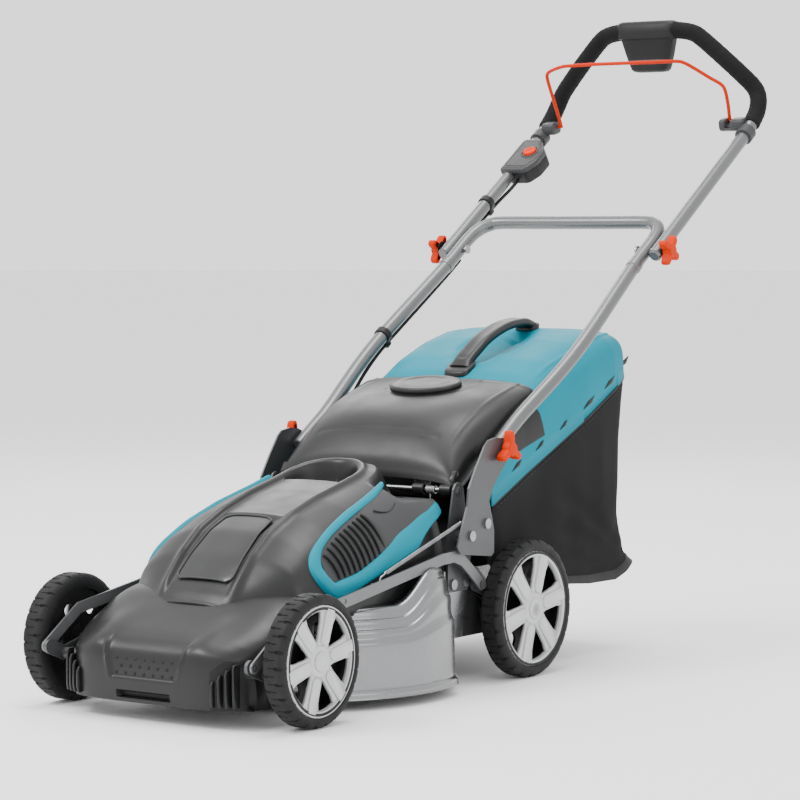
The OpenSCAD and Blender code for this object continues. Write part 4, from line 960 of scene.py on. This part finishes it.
def make_bag():
    outline = bag_outline()
    rows = 60
    v = np.linspace(0, 1, rows)
    count = len(outline)
    run = np.concatenate([[0], np.cumsum(np.linalg.norm(np.diff(outline, axis=0), axis=1))])
    grid = np.zeros((rows, count, 3))
    for j, (x, y) in enumerate(outline):
        rear = soft_step(y, 780, 888)
        y_rear = look_up(v, BAG_REAR)
        yy = y + rear * (y_rear - BAG_TOP_Y)
        low = look_up(yy, BAG_FLOOR)
        zz = seam_z(y) - 3 - v * (seam_z(y) - 3 - low)
        slack = np.sin(np.pi * v)
        on_side = 1 - soft_step(abs(y - BAG_MID_Y), 120, 185)
        middle = 1 - soft_step(abs(x), 60, 150)
        # pull-in towards the middle of each panel, soft upright folds and creases from the corners
        inward = 4.5 * slack * on_side + 5.5 * slack * middle * rear
        waves = 1.3 * np.sin(run[j] / 23 + 2.4 * v) + 0.8 * np.sin(run[j] / 11 - 3.5 * v + 1)
        folds = waves * slack**0.7
        corner = rear * (1 - middle)
        crease = 3.2 * corner * bell(v - 0.62 - 0.18 * np.sin(run[j] / 40), 0.09)
        # creases on the sides that all run into the lower rear corner
        reach = (BAG_CORNER_Y - y) / 330
        diagonal = 0
        for slope, deep in ((0.32, 4.5), (0.62, 5.5), (1.0, 4.0)):
            ridge = bell(v - 1 + slope * reach, 0.035 + 0.05 * reach)
            diagonal = diagonal + deep * ridge * slack**0.5 * soft_step(y, 560, 700) * (1 - middle)
        hem = 1.2 * soft_step(v, 0.945, 0.955)
        out = -inward + folds - crease - diagonal + hem
        taper = 1 - 0.05 * v**2 * (1 - rear)
        side_n = np.sign(x) * (1 - soft_step(abs(y - BAG_MID_Y), 165, 187) * (abs(x) < 158))
        grid[:, j, 0] = x * taper + side_n * out * (abs(x) > 150)
        grid[:, j, 1] = yy + out * rear * (abs(x) < 168) * 0.8
        grid[:, j, 2] = zz
    limit = box_mm("box_top_cover")[1][0]
    grid[:, :, 0] = np.clip(grid[:, :, 0], -limit, limit)
    bottom = grid[-1]
    floor_rows = []
    for s in (0.9, 0.75, 0.5, 0.25, 0.03):
        ring = bottom.copy()
        ring[:, 0] *= s
        ring[:, 1] = BAG_MID_Y + (ring[:, 1] - BAG_MID_Y) * (0.5 + 0.5 * s)
        ring[:, 2] = look_up(ring[:, 1], BAG_FLOOR) - 2 * (1 - s) + 1.5
        floor_rows.append(ring)
    cloth = np.concatenate([grid, np.array(floor_rows)])
    bag = skin("bag", cloth, "bag_fabric", "grass_box", crease=70, replaces=["fabric_bag"])
    hem_rows = grid[int(rows * 0.945):, :, :]
    outward = hem_rows.copy()
    outward[:, :, 0] += np.sign(outward[:, :, 0]) * 0.9
    outward[:, :, 1] += np.where(np.abs(outward[:, :, 0]) < 165, 0.9, 0)
    hem = skin("bag_hem", outward, "black_plastic", "grass_box", crease=60)
    threads = []
    for _, s in SIDES:
        for k in range(40):
            y = 530 + 8.6 * k
            z = seam_z(y) - 10
            x = look_up(y, COVER_PLAN) - 1.2
            threads.append(tube("stitch", [(s * (x + 0.4), y, z), (s * (x + 0.4), y + 5, z + 2.5)], 0.55,
                                "grey_plastic", "grass_box", sides=6))
    joined("bag_stitches", threads)


def band_grid(path, half_width, half_height, steps=28, square=3.2):
    """Rings of a rounded rectangular section along a path in the centre plane."""
    path = np.asarray(path, float)
    tangents = np.gradient(path, axis=0)
    tangents /= np.linalg.norm(tangents, axis=1)[:, None]
    turn = circle(steps)
    cu = power(np.cos(turn), 2 / square)
    su = power(np.sin(turn), 2 / square)
    across = np.array([1.0, 0, 0])
    half_width = np.broadcast_to(half_width, len(path))
    half_height = np.broadcast_to(half_height, len(path))
    return np.array([p + np.outer(w * cu, across) + np.outer(h * su, np.cross(across, t))
                     for p, t, w, h in zip(path, tangents, half_width, half_height)])


def make_carry_handle():
    path = smooth_path([(0, 664, 449), (0, 676, 461), (0, 692, 472), (0, 730, 494), (0, 780, 511),
                        (0, 826, 517), (0, 846, 514), (0, 856, 509)], 10)
    n = len(path)
    share = np.linspace(0, 1, n)
    wide = 16.5 + 3 * (bell(share, 0.07) + bell(1 - share, 0.06))
    grid = band_grid(path, wide, np.full(n, 7.6))
    middle = bell(grid[:, :, 0], 7.5)
    top = grid[:, :, 2] > path[:, None, 2]
    grid[:, :, 2] -= 2.4 * middle * top * between(share, 0.1, 0.16, 0.86, 0.93)[:, None]
    skin("carry_handle", grid, "cover_plastic", "grass_box", wrap=True, caps=True, crease=50,
         replaces=["box_carry_handle"])
    feet = []
    for y0, y1, z0, z1, half in ((646, 682, 439, 458, 23), (846, 866, 505, 511, 20)):
        slope = (z1 - z0) / (y1 - y0)
        turn = circle(40)
        ring = []
        for size, height in ((1, -2), (1, 3), (0.94, 5), (0.8, 5.6), (0.02, 5.8)):
            x = half * size * power(np.cos(turn), 0.6)
            y = (y0 + y1) / 2 + (y1 - y0) / 2 * size * power(np.sin(turn), 0.6)
            z = z0 + slope * (y - y0) + height
            ring.append(np.stack([x, y, z], 1))
        feet.append(skin("foot", ring, "cover_plastic", "grass_box", wrap=True, crease=50))
    joined("carry_handle_feet", feet)


# ---------------------------------------------------------------- flap
FLAP_W = 160
FLAP_STATIONS = [(409, 283, 300), (412, 284, 312), (420, 286, 334), (440, 293, 362), (466, 312, 385),
                 (500, 338, 403), (542, 369, 418), (585, 395, 428), (626, 415, 436)]
BOSS_Y, BOSS_Z, BOSS_TILT = 572, 419, 13
HINGE_Y, HINGE_Z = 412, 285


def make_flap():
    stations = smooth_path(FLAP_STATIONS, 12)
    turn = np.linspace(math.pi, 0, 121)
    f = power(np.cos(turn), 2 / 3.0)
    grid = np.zeros((len(stations), len(f), 3))
    for i, (y, low, crown) in enumerate(stations):
        rise = np.abs(np.sin(turn)) ** (2 / 3.0)
        x = FLAP_W * f
        z = low + (crown - low) * rise
        # contour line that loops round the boss, a step along each side and a lip at the back
        loop = np.hypot(x / 78, (y - 590) / 62)
        z = z - 1.6 * bell(loop - 1, 0.03) * (y < 620)
        side_line = bell(np.abs(x) - 132, 3.5) * soft_step(y, 430, 460)
        z = z + 1.2 * side_line
        z = z - 1.0 * bell(y - 446, 3) * (np.abs(x) < 110)
        z = z - 1.2 * bell(y - 617, 1.6)
        grid[i, :, 0], grid[i, :, 1], grid[i, :, 2] = x, y, z
    skin("flap", grid, "cover_plastic", "flap", thick=3, crease=50, replaces=["rear_flap"])
    borders = [tube("border", grid[:, k] + [inward, 0, 1.5], 2.6, "cover_plastic", "flap", sides=12)
               for k, inward in ((0, 2.4), (-1, -2.4))]
    c, s = math.cos(math.radians(BOSS_TILT)), math.sin(math.radians(BOSS_TILT))
    turn = circle(72)
    rings = []
    for size, height in ((0.86, -6), (0.9, 1), (0.93, 3), (1.0, 6), (1.0, 10), (0.985, 12.2),
                         (0.95, 13.4), (0.8, 13.8), (0.7, 13.9), (0.68, 13.3), (0.5, 13.5), (0.02, 13.8)):
        x = 60 * size * np.cos(turn)
        v = 41 * size * power(np.sin(turn), 0.92)
        rings.append(np.stack([x, BOSS_Y + v * c - height * s, BOSS_Z + v * s + height * c], 1))
    skin("flap_boss", rings, "cover_plastic", "flap", wrap=True, crease=55)
    knuckles = []
    for side in (-1, 1):
        for x in (90, 138):
            ring = []
            for along, r in ((0, 7), (0.8, 9), (19.2, 9), (20, 7)):
                a = circle(40)
                ring.append([(side * (x + along), HINGE_Y + r * math.cos(q), HINGE_Z + r * math.sin(q))
                             for q in a])
            knuckles.append(skin("knuckle", ring, "cover_plastic", "flap", wrap=True))
            outline = [(412, 287), (426, 287), (427, 311), (421, 313), (412, 300)]
            knuckles.append(prism("web", outline, side * x, side * (x + 20), "cover_plastic", "flap", 1))
    joined("flap_knuckles", knuckles)
    joined("flap_borders", borders)


# ---------------------------------------------------------------- handle
SLOPE = math.radians(34)
PIVOT = np.array([0, 497, 342])
UP = np.array([0, math.cos(SLOPE), math.sin(SLOPE)])
RISE = np.array([0, -math.sin(SLOPE), math.cos(SLOPE)])
TUBE_R = 11


def on_handle(s, x, n=0.0):
    """Point at s mm up the handle from its lower pivot, x to the side and n out of its plane."""
    return np.array([x, 0, 0]) + PIVOT + s * UP + n * RISE


LOWER_LINE = [(-16, 176), (20, 176), (70, 176), (130, 182), (190, 188), (250, 190), (310, 188),
              (400, 182.5), (480, 178), (545, 178), (574, 172), (590, 158), (596, 138), (596, 60),
              (596, 0)]
UPPER_LINE = [on_handle(503, UPPER_X), on_handle(600, UPPER_X), on_handle(720, UPPER_X),
              on_handle(820, UPPER_X), on_handle(858, UPPER_X), (201, 1235, 846), (200, 1251, 864),
              (196, 1261, 884), (187, 1262, 902), (165, 1256, 925), (141, 1249, 948), (117, 1243, 970),
              (101, 1239, 984), (88, 1237, 993), (70, 1235, 998), (45, 1233, 1000), (0, 1232, 1000)]


def whole_loop(half):
    half = np.asarray(half, float)
    return np.concatenate([half, (half * [-1, 1, 1])[-2::-1]])


def make_tubes():
    """Both tubes; the upper one's path is returned for the foam."""
    lower = smooth_path(whole_loop([on_handle(s, x) for s, x in LOWER_LINE]), 8)
    upper = smooth_path(whole_loop(UPPER_LINE), 8)
    tube("lower_tube", lower, TUBE_R, "handle_tube", LOWER, sides=28, replaces=["lower_handle"])
    tube("upper_tube", upper, TUBE_R, "handle_tube", UPPER, sides=28, round_end=0.3,
         replaces=["upper_handle"])
    sleeves = [tube("sleeve", [on_handle(s, x) for s in (466, 472, 478)], TUBE_R + 1.1, "handle_tube",
                    LOWER, sides=28, round_end=0.08) for x in (-178.6, 178.6)]
    joined("tube_sleeves", sleeves)
    return upper


def make_clip(name, s, x, body):
    path = [on_handle(s + d, x) for d in (-6, -5, 5, 6)]
    rings = tube_grid(path, np.array([TUBE_R + 1.6, TUBE_R + 2.5, TUBE_R + 2.5, TUBE_R + 1.6]), 40)
    band = skin("band", rings, "black_plastic", body, wrap=True, caps=True)
    outline = [(-5, -22), (5, -22), (6, -19), (6, -9), (-6, -9), (-6, -19)]
    block = prism("block", outline, -6, 6, "black_plastic", body, 1.2,
                  lambda u, v, d: on_handle(s + d, x + u, v))
    return joined(name, [band, block])


def make_foam(upper):
    start = next(i for i, p in enumerate(upper) if p[2] > 835)
    path = upper[start:len(upper) - start]
    radii = np.full(len(path), 14.3)
    ripple = 0.22 * np.sin(np.arange(len(path)) * 1.9) * np.sin(np.arange(len(path)) * 0.37)
    radii = radii + ripple
    radii[0] = radii[-1] = 12.6
    radii[1] = radii[-2] = 14.6
    grip = skin("grip_foam", tube_grid(path, radii, 28), "foam", UPPER, wrap=True, caps=True,
                replaces=["foam_grip"])


def rounded_ring(half_x, half_y, centre_y, z, steps=44, square=4.5):
    turn = circle(steps)
    x = half_x * power(np.cos(turn), 2 / square)
    y = centre_y + half_y * power(np.sin(turn), 2 / square)
    return np.stack([x, y, np.full(steps, z)], 1)


def make_grip_housing():
    rows = [(24, 8, 1244, 931.2), (31, 11, 1244, 932.5), (35, 13, 1243.5, 936), (38, 14, 1242.5, 944),
            (44, 14.3, 1239.5, 962), (50, 15.3, 1236, 984), (50.5, 15.4, 1235.5, 986.2),
            (55, 16.6, 1233.5, 986.8), (57, 16.8, 1233, 998), (57, 16.4, 1233, 1008),
            (55.5, 13.5, 1233, 1014), (51, 9, 1233, 1016.6), (25, 4, 1233, 1017)]
    grid = [rounded_ring(*r) for r in rows]
    skin("grip_shell", grid, "black_plastic", UPPER, wrap=True, caps=True, crease=40,
         replaces=["grip_housing"])
    band = (39.4, 14.6, 947), (39.9, 14.9, 948), (40.7, 14.9, 950.5), (40.9, 14.6, 951.5)
    groove = [rounded_ring(a, b, 1241.6, z) for a, b, z in band]
    skin("grip_shell_band", groove, "grey_plastic", UPPER, wrap=True)


SWITCH_S = 736


def on_switch(u, v, n):
    """Point in the switch box's own axes: u inwards, v up the handle, n out of its plane."""
    return on_handle(SWITCH_S + v, -UPPER_X + u, n)


def make_switch_box():
    corners = np.array([(-14, 0), (-14, 97), (21, 97), (37, 68), (49, 61), (49, 24), (37, 0)], float)

    def outline(shrink, steps=9):
        centre = corners.mean(0)
        pts = centre + (corners - centre) * (1 - shrink)
        rounded = []
        n = len(pts)
        for i in range(n):
            a, b, c = pts[i - 1], pts[i], pts[(i + 1) % n]
            r = 7.0 * (1 - shrink)
            first = b + (a - b) / np.linalg.norm(a - b) * r
            last = b + (c - b) / np.linalg.norm(c - b) * r
            t = np.linspace(0, 1, steps)[:, None]
            rounded.extend((1 - t) ** 2 * first + 2 * t * (1 - t) * b + t**2 * last)
        return rounded

    def rings(rows):
        return [[on_switch(u, v, n) for u, v in outline(shrink)] for shrink, n in rows]

    skin("switch_base", rings([(0.12, -15), (0.03, -14), (0.0, -11), (0.0, 6.5), (0.03, 7.5)]),
         "black_plastic", UPPER, wrap=True, caps=True, replaces=["switch_box"])
    skin("switch_top", rings([(0.02, 7), (0.0, 7.6), (0.0, 12), (0.02, 14.5), (0.07, 16), (0.14, 16.6),
                              (0.17, 16.7), (0.18, 16.1), (0.21, 16.1), (0.22, 16.8), (0.5, 17),
                              (0.98, 17)]),
         "grey_plastic", UPPER, wrap=True, crease=48)
    turn = circle(48)
    well = [[on_switch(22 + r * math.cos(a), 52 + r * math.sin(a), n) for a in turn]
            for r, n in ((17, 16.9), (16.4, 18), (14.6, 18.2), (13.6, 17.2), (13.2, 15))]
    skin("switch_collar", well, "grey_plastic", UPPER, wrap=True)
    cap = [[on_switch(22 + r * math.cos(a), 52 + r * math.sin(a), n) for a in turn]
           for r, n in ((11.6, 11), (12, 12.5), (12, 18.5), (11.2, 20.4), (9.6, 21), (7, 20.7), (3, 20.2),
                        (0.05, 20))]
    skin("button_cap", cap, "orange_plastic", "button", wrap=True, replaces=["lock_button"])
    inlet = [(-8, 62), (16, 62), (16, 92), (-8, 92)]
    prism("mains_inlet", inlet, -19, -13, "black_plastic", UPPER, 1.2, on_switch)


# the left end has the longer slant
BAIL_RIGHT = [(168, 1222, 842), (166, 1218, 848), (168, 1203, 880), (170, 1183, 920), (165, 1175, 931),
              (148, 1164, 936), (124, 1153, 940), (110, 1150, 941), (60, 1149, 942), (0, 1148, 942)]
BAIL_LEFT = [(168, 1222, 842), (166, 1218, 848), (168, 1208, 872), (169, 1196, 894), (165, 1189, 904),
             (150, 1177, 915), (130, 1162, 930), (116, 1153, 939), (102, 1150, 942), (60, 1149, 942),
             (0, 1148, 942)]


def make_bail():
    right = np.array(BAIL_RIGHT, float) * [-1, 1, 1]
    wire = smooth_path(np.concatenate([BAIL_LEFT, right[-2::-1]]), 9)
    parts = [tube("wire", wire, 3, "orange_wire", "bail", sides=16)]
    for s in (-1, 1):
        parts.append(tube("pin", [(s * 165, 1222, 842), (s * 186, 1222, 842)], 3, "orange_wire", "bail",
                          sides=16))
    bail = joined("bail_wire", parts)
    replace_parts(bail, "bail_lever")


CLAMP_S = 858
CLAMP_Y, CLAMP_Z = 1218, 839
CHEEKS = {1: [(151, 163.8), (172.2, 197)], -1: [(172.2, 197)]}


def make_bail_clamps():
    """A ring round each tube, and the cheeks that hold the bail's pin; the left has two."""
    parts = []
    turn = circle(48)
    tilt = math.radians(14)
    along = 14 * power(np.cos(turn), 0.55)
    thick = 10.5 * power(np.sin(turn), 0.55)
    u = along * math.cos(tilt) - thick * math.sin(tilt)
    v = along * math.sin(tilt) + thick * math.cos(tilt)
    for s in (-1, 1):
        path = [on_handle(CLAMP_S + d, s * UPPER_X) for d in (-10, -9, 9, 10)]
        parts.append(skin("ring", tube_grid(path, np.array([14.0, 15.0, 15.0, 14.0]), 40), "grey_plastic",
                          UPPER, wrap=True, caps=True))
        for low, high in CHEEKS[s]:
            rings = [(low + inset, size) for inset, size in ((0, 0.7), (0.8, 0.88), (2.2, 0.97), (4, 1))]
            rings += [(high - (x - low), size) for x, size in rings[::-1]]
            grid = [np.stack([np.full(48, s * x), CLAMP_Y + size * u, CLAMP_Z + size * v], 1)
                    for x, size in rings]
            parts.append(skin("cheek", grid, "grey_plastic", UPPER, wrap=True, caps=True, crease=60))
        if s < 0:
            continue
        bridge = [(1206, 829), (1214, 827), (1224, 830), (1224, 833), (1206, 832)]
        parts.append(prism("bridge", bridge, s * 155, s * 190, "grey_plastic",
                           UPPER, 1))
    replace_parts(joined("clamps", parts), "bail_clamps")


def wing_knob(name, centre, side, wings, reach, tilt, body):
    """Turned cap with rounded wings, its axis along x."""
    steps = 144
    turn = circle(steps)
    core, pad = 11.0, 6.6
    away = (turn - math.radians(tilt) + math.pi / wings) % (2 * math.pi / wings) - math.pi / wings
    along = (reach - pad) * np.cos(away)
    across = (reach - pad) * np.sin(away)
    round_end = np.where(np.abs(across) < pad, along + np.sqrt(np.maximum(pad**2 - across**2, 0)), 0)
    neck = np.where(np.abs(np.sin(away)) > 0.001, 5.2 / np.maximum(np.abs(np.sin(away)), 0.02), 99)
    neck = np.where(np.abs(away) < math.pi / 2, neck, 0)
    radius = np.maximum(core, np.where(neck > reach - pad, round_end, np.minimum(neck, reach - pad)))
    kernel = np.ones(5) / 5
    radius = np.convolve(np.concatenate([radius[-4:], radius, radius[:4]]), kernel, "same")[4:-4]
    rings = []
    for depth, size, cut in ((0, 0.8, 0), (1, 0.97, 0), (2.5, 1, 0), (10.5, 1, 0), (12.6, 0.98, 0.6),
                             (13.8, 0.93, 1.6), (14, 0.86, 2.6), (14.4, 0.4, 0), (15.3, 0.36, 0),
                             (15.5, 0.3, 0), (15.5, 0.01, 0)):
        r = radius * size - cut if size > 0.5 else np.full(steps, 26 * size)
        rings.append(np.stack([np.full(steps, centre[0] + side * depth), centre[1] + r * np.cos(turn),
                               centre[2] + r * np.sin(turn)], 1))
    return skin(name, rings, "orange_plastic", body, wrap=True, crease=34)


UPPER_PIVOT_S = 517


def make_knobs():
    upper = on_handle(UPPER_PIVOT_S, 0)
    for side, s in SIDES:
        wing_knob(f"lower_knob_{side}", (s * 193, PIVOT[1], PIVOT[2]), s, 3, 28, 90, "knobs_lower")
        wing_knob(f"upper_knob_{side}", (s * 213.5, upper[1], upper[2]), s, 4, 26, 60, "knobs_upper")
    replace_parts(bpy.data.objects["lower_knob_left"], "lower_knobs")
    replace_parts(bpy.data.objects["upper_knob_left"], "upper_knobs")
    washers = []
    for s in (-1, 1):
        g = lathe_points([(0, 4.2), (0, 13), (0.5, 13.6), (1.2, 13.2), (1.2, 4.2)],
                         (s * 212.1, upper[1], upper[2]), s, 48)
        washers.append(skin("washer", g, "black_plastic", LOWER, wrap=True))
    joined("knob_washers", washers)


# ---------------------------------------------------------------- cable
CABLE_R = 3
CABLE_UPPER = [(735.5, -186, -9), (715, -190, -12), (690, -198, -16), (655, -201, -17), (610, -200, -17),
               (565, -198, -17.5), (522, -197, -18)]
CABLE_LOWER = [(512, -182, -18), (470, -181, -17), (420, -183, -17), (360, -186, -17), (320, -188, -17),
               (274, -190, -17), (230, -189, -17), (180, -185, -19), (130, -179, -24), (80, -174, -28),
               (40, -172, -28), (14, -172, -26)]
CABLE_DECK = [on_handle(10, -172, -26.4), on_handle(-12, -172, -34), (-171, 470, 298), (-168, 455, 272),
              (-160, 436, 256), (-148, 416, 248), (-136, 402, 246), (-130, 390, 246)]


def make_cables():
    for node, line, body in (
        ("cable_upper", [on_handle(*p) for p in CABLE_UPPER], UPPER),
        ("cable_lower", [on_handle(*p) for p in CABLE_LOWER], LOWER),
        ("cable_deck", CABLE_DECK, "root"),
    ):
        tube(f"{node}_lead", smooth_path(line, 8), CABLE_R, "cable_rubber", body, sides=14, round_end=0.5,
             replaces=[node])


# ---------------------------------------------------------------- linkage
def make_spring():
    start, end = np.array([181, 204, 182.5]), np.array([181, 408, 243.0])
    axis = end - start
    long = np.linalg.norm(axis)
    axis = axis / long
    side = np.cross(axis, [1, 0, 0])
    turns, wire, radius = 66, 0.95, 2.1
    t = np.linspace(0.04, 0.96, turns * 12)
    a = t * turns * 2 * math.pi
    coil = start + np.outer(t * long, axis)
    coil += np.outer(radius * np.cos(a), [1, 0, 0]) + np.outer(radius * np.sin(a), side)
    parts = [tube("coil", coil, wire, "bright_steel", "link_left", sides=7)]
    front = [coil[0], start + axis * 5, start - [0, 4, 2], start - [0, 7, 7]]
    rear = [coil[-1], end - axis * 6, end, (181, 424, 248.5), (181, 440, 252)]
    parts += [tube("hook", smooth_path(p, 6), 1.2, "bright_steel", "link_left", sides=8)
              for p in (front, rear)]
    spring = joined("spring_coil", parts)
    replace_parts(spring, "balance_spring")


# Width in mm of the rounded edges on the CAD nodes that stay on show
EDGES = {
    0.4: "motor_bearings",
    0.5: "flap_hinge_rod blade cooling_fan motor_stator motor_rotor",
    0.7: "handle_bracket_left handle_bracket_right link_bar_left link_bar_right",
    0.8: "front_axle rear_crank_left rear_crank_right front_hub_left front_hub_right rear_hub_left "
         "rear_hub_right upper_pivot_bolts",
    1.0: "blade_carrier",
    1.2: "bracket_bolts",
    1.5: "axle_blocks discharge_chute box_front_frame motor_housing",
}


def soften_cad():
    """Rounded edges as modifiers, so that the CAD meshes themselves aren't changed."""
    for width, nodes in EDGES.items():
        for node in nodes.split():
            bevelled(frame["nodes"][node], width)


# ---------------------------------------------------------------- build
make_camera()
make_studio()
dress_cad()
soften_cad()
for end in ("front", "rear"):
    for side in ("left", "right"):
        make_wheel(end, side)
make_hood()
make_window()
grilles = joined("grilles", make_hood_side("left") + make_hood_side("right"))
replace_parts(grilles, "vent_grilles")
make_front_cover()
make_deck()
make_box_cover()
make_bag()
make_carry_handle()
make_flap()
upper_path = make_tubes()
for clip, where in CLIPS.items():
    make_clip(clip, *where)
make_foam(upper_path)
make_grip_housing()
make_switch_box()
make_bail()
make_bail_clamps()
make_knobs()
make_cables()
make_spring()
